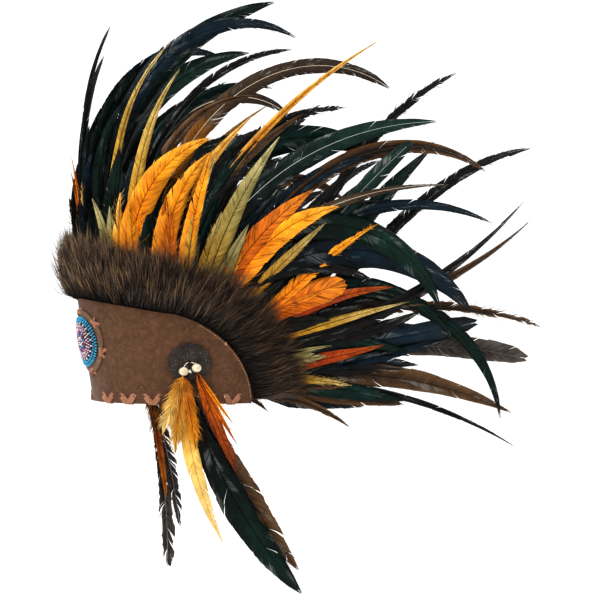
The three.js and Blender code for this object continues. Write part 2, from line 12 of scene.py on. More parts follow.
import bpy
import numpy as np
from mathutils import Matrix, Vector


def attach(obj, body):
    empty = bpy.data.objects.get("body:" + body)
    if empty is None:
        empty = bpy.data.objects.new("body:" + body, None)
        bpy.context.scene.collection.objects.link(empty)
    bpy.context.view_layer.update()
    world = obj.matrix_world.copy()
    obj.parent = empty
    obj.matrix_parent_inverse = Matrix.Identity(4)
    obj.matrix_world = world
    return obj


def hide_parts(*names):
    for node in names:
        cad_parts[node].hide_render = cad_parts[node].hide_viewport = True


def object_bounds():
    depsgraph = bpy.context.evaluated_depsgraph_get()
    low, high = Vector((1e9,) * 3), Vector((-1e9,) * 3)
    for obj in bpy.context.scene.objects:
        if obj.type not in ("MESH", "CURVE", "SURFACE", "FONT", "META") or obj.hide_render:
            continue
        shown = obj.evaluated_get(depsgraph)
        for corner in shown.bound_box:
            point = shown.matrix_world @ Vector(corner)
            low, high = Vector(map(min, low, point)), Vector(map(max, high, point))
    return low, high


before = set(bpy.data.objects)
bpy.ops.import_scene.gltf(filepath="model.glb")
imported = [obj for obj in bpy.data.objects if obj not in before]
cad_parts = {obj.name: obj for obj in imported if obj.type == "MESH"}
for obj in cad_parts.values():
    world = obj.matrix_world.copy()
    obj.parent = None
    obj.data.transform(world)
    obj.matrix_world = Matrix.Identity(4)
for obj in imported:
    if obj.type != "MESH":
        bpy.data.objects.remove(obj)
CAD_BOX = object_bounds()

LOG = logging.getLogger("headdress")
MM = 0.001
BODY = "root"
UP = np.array([0.0, 0.0, 1.0])
LEFT = 1
RIGHT = -1
SIDE_WORDS = {LEFT: "left", RIGHT: "right"}
SEED = 7
FRONT_FUR = 62
FUR_GAP = 1.4
LEFT_DISC = 106
RIGHT_DISC = 124

Array = np.ndarray
Colour = tuple[float, float, float, float]


def linear(hex_colour: str) -> Colour:
    """Turns an sRGB hex value into the linear colour that sockets hold.

    Args:
        hex_colour: Six hex digits, with or without a leading #.

    Returns:
        Red, green, blue and alpha in linear light.
    """
    digits = hex_colour.lstrip("#")
    shares = [int(digits[start:start + 2], 16) / 255 for start in (0, 2, 4)]
    light = [c / 12.92 if c <= 0.04045 else ((c + 0.055) / 1.055) ** 2.4 for c in shares]
    return (light[0], light[1], light[2], 1.0)


def smoothstep(value: Any, low: float, high: float) -> Any:
    """Eases from 0 at low to 1 at high."""
    share = np.clip((np.asarray(value, float) - low) / (high - low), 0, 1)
    return share * share * (3 - 2 * share)


def unit(vectors: Array) -> Array:
    """Gives vectors a length of one, along their last axis."""
    return vectors / np.maximum(np.linalg.norm(vectors, axis=-1, keepdims=True), 1e-9)


def column(values: Any) -> Array:
    """Turns a row of numbers into a column that multiplies points."""
    return np.asarray(values, float)[..., None]


def per_mm(size: float) -> float:
    """Pattern scale on Object coordinates that gives features of about size millimetres."""
    return 1 / (size * MM)


def between(shares: Array, steps: Array, values: Array) -> Array:
    """Reads a row of points or directions at shares between its steps."""
    return np.stack([np.interp(shares, steps, values[:, axis]) for axis in range(3)], axis=-1)


def softened(route: Array, times: int) -> Array:
    """Rounds the corners of a route, whose ends stay where they are.

    Args:
        route: Its points.
        times: How many times it is rounded.

    Returns:
        The rounded points.
    """
    route = route.copy()
    for _ in range(times):
        route[1:-1] = (route[:-2] + 2 * route[1:-1] + route[2:]) / 4
    return route


def bearing(azimuth: float, elevation: float) -> Array:
    """Direction out from the object, by degrees round it from the front and degrees up.

    Args:
        azimuth: Degrees round the object.
        elevation: Degrees up.

    Returns:
        The direction.
    """
    turn = math.radians(azimuth)
    lift = math.radians(elevation)
    return np.array([math.sin(turn) * math.cos(lift), -math.cos(turn) * math.cos(lift), math.sin(lift)])


@dataclass
class HeadForm:
    """The curved wall that the band, the fur and the feathers follow."""

    length: float = 190
    width: float = 156
    band_height: float = 94
    side_drop: float = 12
    corner_height: float = 3
    reach: int = 103
    corner_start: float = 0.52
    corner_roundness: float = 1.7
    front_flare: float = 15
    side_flare: float = 8
    rear_splay: float = 5
    suede: float = 2.2
    side_splay: float = 12
    full_splay: float = 0.5
    splay_angles: tuple[float, float] = (60, 110)
    drop_power: float = 1.4
    fur_shares: tuple[float, float] = (0.2, 1.08)
    lowest_seam: float = 1
    edge_steps: int = 241
    edge_crowding: float = 1.8
    girths: Array = field(init=False)
    edge_girths: Array = field(init=False)
    edge_lengths: Array = field(init=False)

    def __post_init__(self) -> None:
        """Measures the bottom edge by degrees and the top edge by steps."""
        degrees = np.arange(self.reach + 1)
        base = self.wall(degrees, 0, self.suede)
        steps = np.linalg.norm(np.diff(base, axis=0), axis=1)
        self.girths = np.concatenate([[0], np.cumsum(steps)])
        shares = np.linspace(0, 1, self.edge_steps)
        self.edge_girths = self.half_girth * (1 - (1 - shares) ** self.edge_crowding)
        edge = self.band(self.edge_girths, self.edge_height(self.edge_girths), self.suede)
        steps = np.linalg.norm(np.diff(edge, axis=0), axis=1)
        self.edge_lengths = np.concatenate([[0], np.cumsum(steps)])

    @property
    def half_girth(self) -> float:
        """Length of the bottom edge from the centre front to one rear corner."""
        return float(self.girths[-1])

    @property
    def half_edge(self) -> float:
        """Length of the top edge from the centre front to one rear corner."""
        return float(self.edge_lengths[-1])

    def normal(self, angle: Any, height: Any) -> Array:
        """Gives the wall's outward direction.

        Args:
            angle: Degrees round the head from the centre front, positive to the wearer's left.
            height: Height above the band's bottom edge.

        Returns:
            Unit vectors in plan.
        """
        turn = np.radians(np.asarray(angle, float))
        rise = np.asarray(height, float) / self.band_height
        turn, rise = np.broadcast_arrays(turn, rise)
        across = np.sin(turn) / (self.width / 2 + self.side_flare * rise)
        along = -np.cos(turn) / (self.length / 2 + self.front_flare * rise)
        return unit(np.stack([across, along, np.zeros_like(across)], axis=-1))

    def wall(self, angle: Any, height: Any, offset: Any) -> Array:
        """Gives points of the wall.

        Args:
            angle: Degrees round the head from the centre front.
            height: Height above the band's bottom edge.
            offset: Distance outward from the band's inner face.

        Returns:
            Points, one for each of the broadcast values.
        """
        angle, height, offset = np.broadcast_arrays(
            np.asarray(angle, float), np.asarray(height, float), np.asarray(offset, float)
        )
        turn = np.radians(angle)
        rise = height / self.band_height
        across = (self.width / 2 + self.side_flare * rise) * np.sin(turn)
        along = -(self.length / 2 + self.front_flare * rise) * np.cos(turn)
        splayed = self.rear_splay * smoothstep(np.abs(angle), *self.splay_angles)
        point = np.stack([across, along, height], axis=-1)
        return point + self.normal(angle, height) * column(offset + splayed)

    def angle_at(self, girth: Any) -> Array:
        """Turns a girth along the bottom edge into degrees round the head."""
        girth = np.asarray(girth, float)
        return np.sign(girth) * np.interp(np.abs(girth), self.girths, np.arange(self.reach + 1))

    def band(self, girth: Any, height: Any, offset: Any) -> Array:
        """Gives points of the wall by girth instead of degrees."""
        return self.wall(self.angle_at(girth), height, offset)

    def outward(self, girth: Any, height: Any) -> Array:
        """Gives the wall's outward direction by girth instead of degrees."""
        return self.normal(self.angle_at(girth), height)

    def edge_height(self, girth: Any) -> Array:
        """Height of the band's top edge, which rounds down to the rear corner.

        Args:
            girth: Girths in millimetres from the front.

        Returns:
            The heights.
        """
        share = np.minimum(1, np.abs(np.asarray(girth, float)) / self.half_girth)
        shoulder = self.band_height - self.side_drop
        gentle = self.band_height - self.side_drop * (share / self.corner_start) ** self.drop_power
        past = np.clip((share - self.corner_start) / (1 - self.corner_start), 0, 1)
        fall = (1 - past ** self.corner_roundness) ** (1 / self.corner_roundness)
        rounded = self.corner_height + (shoulder - self.corner_height) * fall
        return np.where(share <= self.corner_start, gentle, rounded)

    def edge_girth(self, share: Any) -> Array:
        """Turns a share of the top edge's half length into a girth.

        Args:
            share: Places along the top edge, from -1 to 1.

        Returns:
            The girths.
        """
        share = np.asarray(share, float)
        found = np.interp(np.abs(share) * self.half_edge, self.edge_lengths, self.edge_girths)
        return np.sign(share) * found

    def rearward(self, share: Any) -> Array:
        """Horizontal direction in which feathers bend, which splays towards the sides.

        Args:
            share: Places along the top edge, from -1 to 1.

        Returns:
            The directions.
        """
        share = np.asarray(share, float)
        splay = math.radians(self.side_splay) * smoothstep(np.abs(share), 0, self.full_splay)
        zero = np.zeros_like(splay)
        return np.stack([np.sign(share) * np.sin(splay), np.cos(splay), zero], axis=-1)

    def fur_angle(self, share: Any) -> Array:
        """Degrees of the hair above the rearward line: upright in front, flat at the corner."""
        return 90 * (1 - smoothstep(np.abs(share), *self.fur_shares))

    def seam(self, share: Any, along: Any, offset: Any) -> Array:
        """Gives points of the sewn seam below the top edge.

        Args:
            share: Place along the top edge.
            along: Distance from the edge along the hair, negative inside the band.
            offset: Distance outward from the band's inner face.

        Returns:
            Points on the wall.
        """
        share = np.asarray(share, float)
        girth = self.edge_girth(share)
        turn = np.radians(self.fur_angle(share))
        height = np.maximum(self.lowest_seam, self.edge_height(girth) + along * np.sin(turn))
        return self.band(girth + np.sign(share) * along * np.cos(turn), height, offset)

    def edge_normal(self, share: Any) -> Array:
        """Outward direction at the top edge."""
        girth = self.edge_girth(share)
        return self.outward(girth, self.edge_height(girth))

    def hair_direction(self, share: Any) -> Array:
        """Direction of the hair where it lies flat to the band.

        Args:
            share: Places along the top edge, from -1 to 1.

        Returns:
            The directions.
        """
        share = np.asarray(share, float)
        normal = self.edge_normal(share)
        side = np.where(share < 0, -1.0, 1.0)
        zero = np.zeros_like(side)
        tangent = np.stack([-normal[..., 1] * side, normal[..., 0] * side, zero], axis=-1)
        turn = np.radians(self.fur_angle(share))
        return tangent * column(np.cos(turn)) + UP * column(np.sin(turn))


HEAD = HeadForm()


class Recipe:
    """A material in the making: a Principled shader and the nodes that feed it."""

    def __init__(self, name: str) -> None:
        """Starts the material under the real one's name.

        Args:
            name: The material's name.
        """
        self.material = bpy.data.materials.new(name)
        self.material.use_nodes = True
        self.tree = self.material.node_tree
        self.shader = self.tree.nodes["Principled BSDF"]

    def feed(self, node: Any, inputs: dict) -> None:
        """Sets or links a node's inputs.

        Args:
            node: The node.
            inputs: Numbers, hex colours or sockets, by the name or number of their input.
        """
        for name, value in inputs.items():
            if isinstance(value, bpy.types.NodeSocket):
                self.tree.links.new(value, node.inputs[name])
            else:
                node.inputs[name].default_value = linear(value) if isinstance(value, str) else value

    def add(
        self, kind: str, inputs: dict | None = None, output: Any = 0,
        stops: Sequence[tuple[float, str]] = (), **settings: Any,
    ) -> Any:
        """Adds one node.

        Args:
            kind: Blender's type name of the node, without its ShaderNode prefix.
            inputs: Numbers, hex colours or sockets, by the name or number of their input.
            output: Name or number of the output that is wanted.
            stops: Places from 0 to 1 with their hex colours, where the node holds a ramp.
            settings: Values of the node's own settings.

        Returns:
            The output's socket.
        """
        node = self.tree.nodes.new("ShaderNode" + kind)
        for name, value in settings.items():
            setattr(node, name, value)
        self.feed(node, inputs or {})
        for _ in stops[2:]:
            node.color_ramp.elements.new(1)
        for index, (place, shade) in enumerate(stops):
            node.color_ramp.elements[index].position = place
            node.color_ramp.elements[index].color = linear(shade)
        return node.outputs[output]

    def marks(self) -> list[Any]:
        """Gives sockets for the four values that a Pile keeps for each point.

        Returns:
            The sockets.
        """
        vane = self.add("Attribute", output="Vector", attribute_name="vane")
        share = self.add("Attribute", output="Fac", attribute_name="share")
        return [*self.add("SeparateXYZ", {0: vane}).node.outputs, share]

    def cloud(self, size: float, detail: float) -> Any:
        """Gives a cloudy pattern on the object, with features of about size millimetres."""
        objects = self.add("TexCoord", output="Object")
        return self.add("TexNoise", {"Vector": objects, "Scale": per_mm(size), "Detail": detail})

    def cover(self, ground: Any, pattern: Any, limits: tuple[float, float], most: float, colour: Any) -> Any:
        """Lays a colour over a ground where a pattern climbs from one limit to the other.

        Args:
            ground: The colour below, as a socket or a hex value.
            pattern: The pattern's socket.
            limits: Pattern values at which the colour starts to show and shows most.
            most: Share of the colour where it shows most.
            colour: The colour on top, as a socket or a hex value.

        Returns:
            The new colour's socket.
        """
        share = self.add("MapRange", {0: pattern, 1: limits[0], 2: limits[1], 3: 0.0, 4: most})
        return self.add("Mix", {0: share, 6: ground, 7: colour}, 2, data_type="RGBA")

    def surface(self, inputs: dict, relief: Any = None, strength: float = 0, depth: float = 0) -> Any:
        """Sets the shader's inputs and its relief.

        Args:
            inputs: The shader's inputs, as feed takes them.
            relief: Socket with the relief's height from 0 to 1.
            strength: Share of the relief that shows.
            depth: The relief's full height in millimetres.

        Returns:
            The material.
        """
        self.feed(self.shader, inputs)
        if relief is not None:
            settings = {"Strength": strength, "Distance": depth * MM, "Height": relief}
            self.feed(self.shader, {"Normal": self.add("Bump", settings)})
        return self.material


def deselect_all() -> None:
    """Leaves nothing selected, so that an operator acts on the new piece alone."""
    bpy.ops.object.select_all(action="DESELECT")


def select_only(obj: Any) -> None:
    """Selects one object and makes it active.

    Args:
        obj: The object.
    """
    deselect_all()
    obj.select_set(True)
    bpy.context.view_layer.objects.active = obj


def edit(obj: Any, *steps: Callable[[], Any]) -> None:
    """Runs operators in edit mode.

    Args:
        obj: The mesh object.
        steps: Calls to make in order, the first with all of the mesh selected.
    """
    select_only(obj)
    bpy.ops.object.mode_set(mode="EDIT")
    bpy.ops.mesh.select_all(action="SELECT")
    for step in steps:
        step()
    bpy.ops.object.mode_set(mode="OBJECT")


def apply_modifier(obj: Any, kind: str, **settings: Any) -> None:
    """Adds a modifier with its settings and applies it.

    Args:
        obj: The object.
        kind: The modifier's type.
        settings: Its settings.
    """
    select_only(obj)
    modifier = obj.modifiers.new(kind.title(), kind)
    for name, value in settings.items():
        setattr(modifier, name, value)
    bpy.ops.object.modifier_apply(modifier=modifier.name)


def points_of(obj: Any) -> Array:
    """Reads a mesh's points in millimetres.

    Args:
        obj: The object.

    Returns:
        The points.
    """
    flat = np.zeros(len(obj.data.vertices) * 3)
    obj.data.vertices.foreach_get("co", flat)
    return flat.reshape(-1, 3) / MM


def place_points(obj: Any, points: Array) -> None:
    """Writes a mesh's points, given in millimetres."""
    obj.data.vertices.foreach_set("co", (points * MM).ravel())
    obj.data.update()


def place_at_origin(obj: Any) -> None:
    """Moves an object's place and size into its mesh."""
    select_only(obj)
    bpy.ops.object.transform_apply(location=True, rotation=True, scale=True)


def thicken(obj: Any, thick: float) -> None:
    """Extrudes a flat sheet upward by a thickness in metres and turns its faces out.

    Args:
        obj: The sheet.
        thick: The thickness.
    """
    edit(
        obj,
        lambda: bpy.ops.mesh.extrude_region_move(TRANSFORM_OT_translate={"value": (0, 0, thick)}),
        lambda: bpy.ops.mesh.select_all(action="SELECT"),
        lambda: bpy.ops.mesh.normals_make_consistent(inside=False),
    )


def finish_piece(obj: Any, nodes: Sequence[str], angle: float = 40) -> Any:
    """Smooths a finished piece and ties it to the frame.

    Args:
        obj: The piece, under its own name.
        nodes: The frame's nodes that it stands for.
        angle: Degrees between faces above which an edge stays sharp.

    Returns:
        The piece.
    """
    obj.data.name = obj.name
    select_only(obj)
    bpy.ops.object.shade_smooth_by_angle(angle=math.radians(angle))
    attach(obj, BODY)
    if nodes:
        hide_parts(*nodes)
    LOG.info("%s: %d triangles", obj.name, len(obj.data.loops) - 2 * len(obj.data.polygons))
    return obj


@dataclass
class Blank:
    """A small shape, modelled once and copied many times."""

    points: Array
    faces: list[tuple[int, ...]]


def take_blank(obj: Any) -> Blank:
    """Reads a modelled shape as a blank and removes its object.

    Args:
        obj: The object.

    Returns:
        The blank.
    """
    place_at_origin(obj)
    blank = Blank(points_of(obj), [tuple(face.vertices) for face in obj.data.polygons])
    bpy.data.objects.remove(obj)
    return blank


def flipped(faces: Array) -> Array:
    """Turns faces the other way round."""
    return np.asarray(faces)[:, ::-1]


class Pile:
    """Gathers many small closed shapes into one mesh."""

    def __init__(self) -> None:
        """Starts empty."""
        self.points: list[Array] = []
        self.faces: list[tuple[int, ...]] = []
        self.finishes: list[int] = []
        self.marks: list[Array] = []
        self.count = 0

    def add(self, points: Array, faces: Sequence[Any], finish: int = 0, marks: Any = None) -> None:
        """Adds a shape.

        Args:
            points: Its points in millimetres.
            faces: Its faces, numbered from its first point.
            finish: Number of its material.
            marks: Four values for each point, which the material reads.
        """
        self.faces.extend(tuple(int(corner) + self.count for corner in face) for face in faces)
        self.points.append(points)
        self.finishes.extend([finish] * len(faces))
        self.marks.append(np.zeros((len(points), 4)) if marks is None else marks)
        self.count += len(points)

    def build(self, name: str, materials: Sequence[Any]) -> Any:
        """Makes the mesh object.

        Args:
            name: Its name.
            materials: Its materials in order.

        Returns:
            The object, with the marks in the attributes vane and share.
        """
        mesh = bpy.data.meshes.new(name)
        mesh.from_pydata((np.concatenate(self.points) * MM).tolist(), [], self.faces)
        for material in materials:
            mesh.materials.append(material)
        mesh.polygons.foreach_set("material_index", self.finishes)
        marks = np.concatenate(self.marks)
        mesh.attributes.new("vane", "FLOAT_VECTOR", "POINT").data.foreach_set("vector", marks[:, :3].ravel())
        mesh.attributes.new("share", "FLOAT", "POINT").data.foreach_set("value", marks[:, 3])
        mesh.update()
        obj = bpy.data.objects.new(name, mesh)
        bpy.context.scene.collection.objects.link(obj)
        return obj


def ring_faces(rows: int, size: int) -> Array:
    """Faces of a skin over rows of closed rings, which face outward where rings run clockwise.

    Args:
        rows: How many rings.
        size: Points of a ring.

    Returns:
        The faces.
    """
    low = (np.arange(rows - 1)[:, None] * size + np.arange(size)[None, :]).ravel()
    turned = (np.arange(rows - 1)[:, None] * size + (np.arange(size) + 1)[None, :] % size).ravel()
    return np.stack([low, turned, turned + size, low + size], axis=1)


def skin(rings: Array) -> tuple[Array, list[tuple[int, ...]]]:
    """Closes a skin over rings of points.

    Args:
        rings: Rows of rings, each of as many points.

    Returns:
        Points and faces, which face outward.
    """
    rows, size, _ = rings.shape
    points = rings.reshape(-1, 3)
    faces = [tuple(face) for face in ring_faces(rows, size)]
    faces.append(tuple(range(size))[::-1])
    faces.append(tuple(range((rows - 1) * size, rows * size)))
    centre = points.mean(axis=0)
    volume = sum(
        np.dot(points[face[0]] - centre, np.cross(points[face[1]] - centre, points[face[2]] - centre))
        + np.dot(points[face[0]] - centre, np.cross(points[face[2]] - centre, points[face[-1]] - centre))
        for face in faces
    )
    return points, faces if volume > 0 else [face[::-1] for face in faces]


def strands(routes: Array, radii: Array, sides: int = 3) -> tuple[Array, list[list[int]]]:
    """Makes many thin tapered strands at once.

    Args:
        routes: Points of each strand, as strand, step and coordinate.
        radii: Radius at each step but the last, where a strand comes to a point.
        sides: Corners of a strand's section.

    Returns:
        Points and faces.
    """
    count, steps, _ = routes.shape
    direction = unit(routes[:, -1] - routes[:, 0])
    helper = np.where(np.abs(direction[:, 2:3]) > 0.8, [[1.0, 0.0, 0.0]], [[0.0, 0.0, 1.0]])
    first = unit(np.cross(direction, helper))
    second = np.cross(direction, first)
    turns = np.arange(sides) * 2 * math.pi / sides
    arms = first[:, None] * np.cos(turns)[None, :, None] + second[:, None] * np.sin(turns)[None, :, None]
    radii = np.broadcast_to(radii, (count, steps - 1))
    rings = routes[:, :-1, None] + arms[:, None] * radii[:, :, None, None]
    size = (steps - 1) * sides + 1
    points = np.concatenate([rings.reshape(count, -1, 3), routes[:, -1:]], axis=1).reshape(-1, 3)
    starts = np.arange(count)[:, None] * size
    walls = (ring_faces(steps - 1, sides).ravel()[None] + starts).reshape(-1, 4)
    last = (steps - 2) * sides
    corner = np.arange(sides)
    tips = np.stack([last + corner, last + (corner + 1) % sides, np.full(sides, size - 1)], axis=1)
    tips = (tips.ravel()[None] + starts).reshape(-1, 3)
    ends = corner[::-1][None] + starts
    return points, walls.tolist() + tips.tolist() + ends.tolist()


def marked(count: int, size: int, *values: Any) -> Array:
    """Gives each point the four values that a material reads.

    Args:
        count: How many strands, barbs or rings.
        size: How many points each has.
        values: The three parts of vane and then share, each a number or an array of count by size.

    Returns:
        A row of four values for each point.
    """
    marks = np.zeros((count, size, 4))
    for place, value in enumerate(values):
        marks[:, :, place] = value
    return marks.reshape(-1, 4)


def tuft(
    pile: Pile, rng: np.random.Generator, place: Array, count: int,
    reaches: Sequence[float], radii: Sequence[float], sides: int,
) -> None:
    """Adds a small knot as short strands that stand out all round.

    Args:
        pile: Where it goes.
        rng: The random numbers.
        place: Its middle.
        count: How many strands.
        reaches: Distances of a strand's points from the middle.
        radii: Radius at each of those points but the last.
        sides: Corners of a strand's section.
    """
    away = unit(rng.normal(0, 1, (count, 3)))
    routes = place + away[:, None] * np.array(reaches)[None, :, None]
    pile.add(*strands(routes, np.array([radii]), sides))


# The first part of vane: 0 at the quill, 1 at the vane's edge, and this on the quill itself
QUILL_MARK = 2


@dataclass(frozen=True)
class FeatherFinish:
    """Glossy vane of parallel barbs on a horny quill, dyed or natural."""

    name: str
    stops: tuple[tuple[float, str], ...]
    streak: str = "0b0a09"
    streaks: float = 0.5
    edge: str = "14100d"
    edging: float = 0.0
    quill: str = "1a1512"
    bars: float = 0.0
    bar: str = "d8cdb0"
    gloss: float = 0.42
    metallic: float = 0.0
    shine: float = 0.1
    # glint and the fields named after it set painted highlight streaks, drawn pale into the vane's colour
    glint: float = 0.0
    glint_colour: str = "8d9390"
    barb_mm: float = 1.1
    patch_mm: float = 14.0
    seed_shift: float = 71.0
    wobble: float = 0.07
    tones: tuple[float, float] = (0.75, 1.2)
    haze: tuple[float, float] = (0.3, 0.7)
    glint_scale: float = 1.3
    glint_strength: float = 0.8
    relief_mm: float = 0.35

    def material(self) -> Any:
        """Builds the material. Streaks along the barbs give the eye the vane's fine combed grain,
        drawn at about 1 mm, which is coarser than real barbs, so that they show.

        Returns:
            The material.
        """
        recipe = Recipe(self.name)
        across, along, seed, share = recipe.marks()
        outward = recipe.add("Math", {0: across}, operation="ABSOLUTE")
        shift = recipe.add("Math", {0: seed, 1: self.seed_shift}, operation="MULTIPLY")
        rows = recipe.add("Math", {0: along, 1: self.barb_mm}, operation="DIVIDE")
        spot = recipe.add("CombineXYZ", {0: across, 1: rows, 2: shift})
        barbs = recipe.add("TexNoise", {"Vector": spot, "Scale": 1.0, "Detail": 2})
        cloud = recipe.cloud(self.patch_mm, 2)
        haze = {0: cloud, 1: self.haze[0], 2: self.haze[1]}
        wobble = recipe.add("MapRange", {**haze, 3: -self.wobble, 4: self.wobble})
        place = recipe.add("Math", {0: share, 1: wobble}, operation="ADD")
        colour = recipe.add("ValToRGB", {0: place}, stops=self.stops)
        colour = recipe.cover(colour, barbs, (0.46, 0.66), self.streaks, self.streak)
        if self.edging:
            colour = recipe.cover(colour, outward, (0.35, 0.95), self.edging, self.edge)
        if self.bars:
            turn = recipe.add("Math", {0: along, 1: 2 * math.pi / self.bars}, operation="MULTIPLY")
            wave = recipe.add("Math", {0: turn}, operation="SINE")
            colour = recipe.cover(colour, wave, (0.1, 0.5), 1.0, self.bar)
        tone = recipe.add("MapRange", {0: seed, 3: self.tones[0], 4: self.tones[1]})
        dapple = recipe.add("MapRange", {**haze, 3: self.tones[0], 4: self.tones[1]})
        tone = recipe.add("Math", {0: tone, 1: dapple}, operation="MULTIPLY")
        colour = recipe.add("HueSaturation", {"Value": tone, "Color": colour})
        # Glint: a painted highlight, pale grey streaks laid into the base colour along the barbs where the
        # long noise patches peak
        if self.glint:
            length = recipe.add("Math", {0: along, 1: 3 * self.patch_mm}, operation="DIVIDE")
            sweep = recipe.add("CombineXYZ", {0: across, 1: length, 2: shift})
            patches = recipe.add("TexNoise", {"Vector": sweep, "Scale": self.glint_scale, "Detail": 2})
            most = self.glint_strength * self.glint
            lit = recipe.add("MapRange", {0: patches, 1: 0.58, 2: 0.68, 4: most})
            lines = recipe.add("MapRange", {0: barbs, 1: 0.42, 2: 0.6, 3: 1.0, 4: 0.0})
            lit = recipe.add("Math", {0: lit, 1: lines}, operation="MULTIPLY")
            colour = recipe.add("Mix", {0: lit, 6: colour, 7: self.glint_colour}, 2, data_type="RGBA")
        horn = recipe.add("Math", {0: outward, 1: QUILL_MARK - 0.5}, operation="GREATER_THAN")
        colour = recipe.add("Mix", {0: horn, 6: colour, 7: self.quill}, 2, data_type="RGBA")
        dull = {0: barbs, 1: self.haze[0], 2: self.haze[1], 3: self.gloss - 0.08, 4: self.gloss + 0.14}
        look = {
            "Base Color": colour, "Roughness": recipe.add("MapRange", dull),
            "Metallic": self.metallic, "Specular IOR Level": self.shine,
        }
        return recipe.surface(look, barbs, 0.55, self.relief_mm)


class Plumage(Enum):
    """The kinds of feather on the headdress."""

    GREEN = FeatherFinish(
        "cock tail feather, green sheen",
        ((0.0, "0d0b09"), (0.3, "090d0c"), (0.55, "0b1c18"), (0.8, "122c25"), (1.0, "161f1d")),
        streaks=0.6, edge="070908", edging=0.5, gloss=0.34, metallic=0.2, glint=0.35,
    )
    TEAL = FeatherFinish(
        "cock tail feather, teal sheen",
        ((0.0, "0d0c0b"), (0.25, "0a1313"), (0.5, "0d2723"), (0.8, "102a25"), (1.0, "151f1d")),
        streaks=0.55, edge="0a1010", edging=0.45, gloss=0.34, metallic=0.25, glint=0.3,
    )
    BLUE = FeatherFinish(
        "cock tail feather, blue sheen",
        ((0.0, "0d0b0a"), (0.3, "0a0d10"), (0.6, "0d1d27"), (0.8, "13252f"), (1.0, "202326")),
        streaks=0.55, edge="090a0c", edging=0.45, gloss=0.35, metallic=0.2, glint=0.45,
    )
    BLACK = FeatherFinish(
        "cock tail feather, black",
        ((0.0, "120d0a"), (0.4, "0b0b0b"), (0.75, "131312"), (1.0, "262322")),
        streaks=0.45, edge="2a2523", edging=0.3, gloss=0.36, metallic=0.08, glint=0.55,
    )
    PALE_QUILLED = FeatherFinish(
        "cock tail feather, green with pale quill",
        ((0.0, "0e0c0a"), (0.4, "0c1412"), (0.7, "142a25"), (1.0, "1d332e")),
        streaks=0.55, edge="0c1110", edging=0.4, quill="b9bdb6", gloss=0.32, metallic=0.15, glint=0.7,
    )
    BROWN = FeatherFinish(
        "cock feather, brown",
        ((0.0, "1f120a"), (0.35, "2c1e14"), (0.7, "46321f"), (1.0, "4a3626")),
        streak="150e09", streaks=0.75, edge="6b4e34", edging=0.5, gloss=0.45, glint=0.4,
    )
    UMBER = FeatherFinish(
        "cock tail feather, black with umber edge",
        ((0.0, "120c08"), (0.45, "130e0c"), (0.75, "1d1612"), (1.0, "2b211a")),
        streaks=0.55, edge="74502f", edging=0.6, quill="55402c", gloss=0.42, glint=0.3,
    )
    TWO_TONE = FeatherFinish(
        "cock feather, orange dye on grey brown",
        ((0.0, "a5540c"), (0.26, "b86d12"), (0.42, "94601f"), (0.55, "453629"), (1.0, "2e2723")),
        streak="24160c", streaks=0.6, quill="d9cbb2", gloss=0.45, glint=0.5,
    )
    ORANGE = FeatherFinish(
        "hackle, orange dye",
        ((0.0, "7c3408"), (0.2, "ab5208"), (0.5, "d2770b"), (0.8, "dc901a"), (1.0, "cf9434")),
        streak="6a2a05", streaks=0.85, edge="dd9c34", edging=0.5, quill="7a3c0c", gloss=0.5,
    )
    AMBER = FeatherFinish(
        "hackle, amber dye",
        ((0.0, "8f4c0a"), (0.3, "ba6e10"), (0.7, "cb8c27"), (1.0, "cfa85a")),
        streak="743809", streaks=0.85, edge="d8b060", edging=0.5, quill="6a4014", gloss=0.5,
    )
    DEEP_ORANGE = FeatherFinish(
        "hackle, deep orange dye",
        ((0.0, "5c2707"), (0.3, "97440a"), (0.65, "bc600d"), (1.0, "c07420")),
        streak="4c1e06", streaks=0.8, quill="4a240a", gloss=0.5,
    )
    RUST = FeatherFinish(
        "hackle, rust dye",
        ((0.0, "43170a"), (0.3, "842c09"), (0.7, "a3400d"), (1.0, "9a521a")),
        streak="3a1608", streaks=0.75, quill="32140a", gloss=0.36, glint=0.15,
    )
    AUBURN = FeatherFinish(
        "hackle, auburn dye",
        ((0.0, "9a4c10"), (0.35, "a04c0f"), (0.7, "843a10"), (1.0, "402416")),
        streak="2c1408", streaks=0.8, quill="2a160c", gloss=0.36, glint=0.25,
    )
    GOLD = FeatherFinish(
        "hackle, gold",
        ((0.0, "9a5c0e"), (0.3, "ba801c"), (0.6, "ab8636"), (0.85, "b39a5c"), (1.0, "bfae78")),
        streak="503c16", streaks=0.75, quill="241a0e", gloss=0.48,
    )
    KHAKI = FeatherFinish(
        "hackle, khaki",
        ((0.0, "8a5a10"), (0.25, "96742a"), (0.6, "877a45"), (0.85, "9c9162"), (1.0, "b8ac7c")),
        streak="3a3218", streaks=0.7, quill="241e10", gloss=0.5,
    )
    CREAM = FeatherFinish(
        "hackle, cream",
        ((0.0, "c47b16"), (0.25, "d69e3c"), (0.55, "dcb968"), (1.0, "dcc48a")),
        streak="a4702a", streaks=0.6, quill="b88f46", gloss=0.5,
    )
    SMOKE = FeatherFinish(
        "down feather, smoke black",
        ((0.0, "17110e"), (0.4, "131110"), (0.8, "231f1d"), (1.0, "3a3430")),
        streak="766d66", streaks=0.35, edge="4c453f", edging=0.6, quill="6c655f", gloss=0.6,
    )
    BARRED = FeatherFinish(
        "cock feather, black with cream bars",
        ((0.0, "d6c196"), (0.5, "b67b3a"), (1.0, "5a3a1e")),
        streak="20150e", streaks=0.5, bars=5.0, bar="120f0d", gloss=0.5,
    )


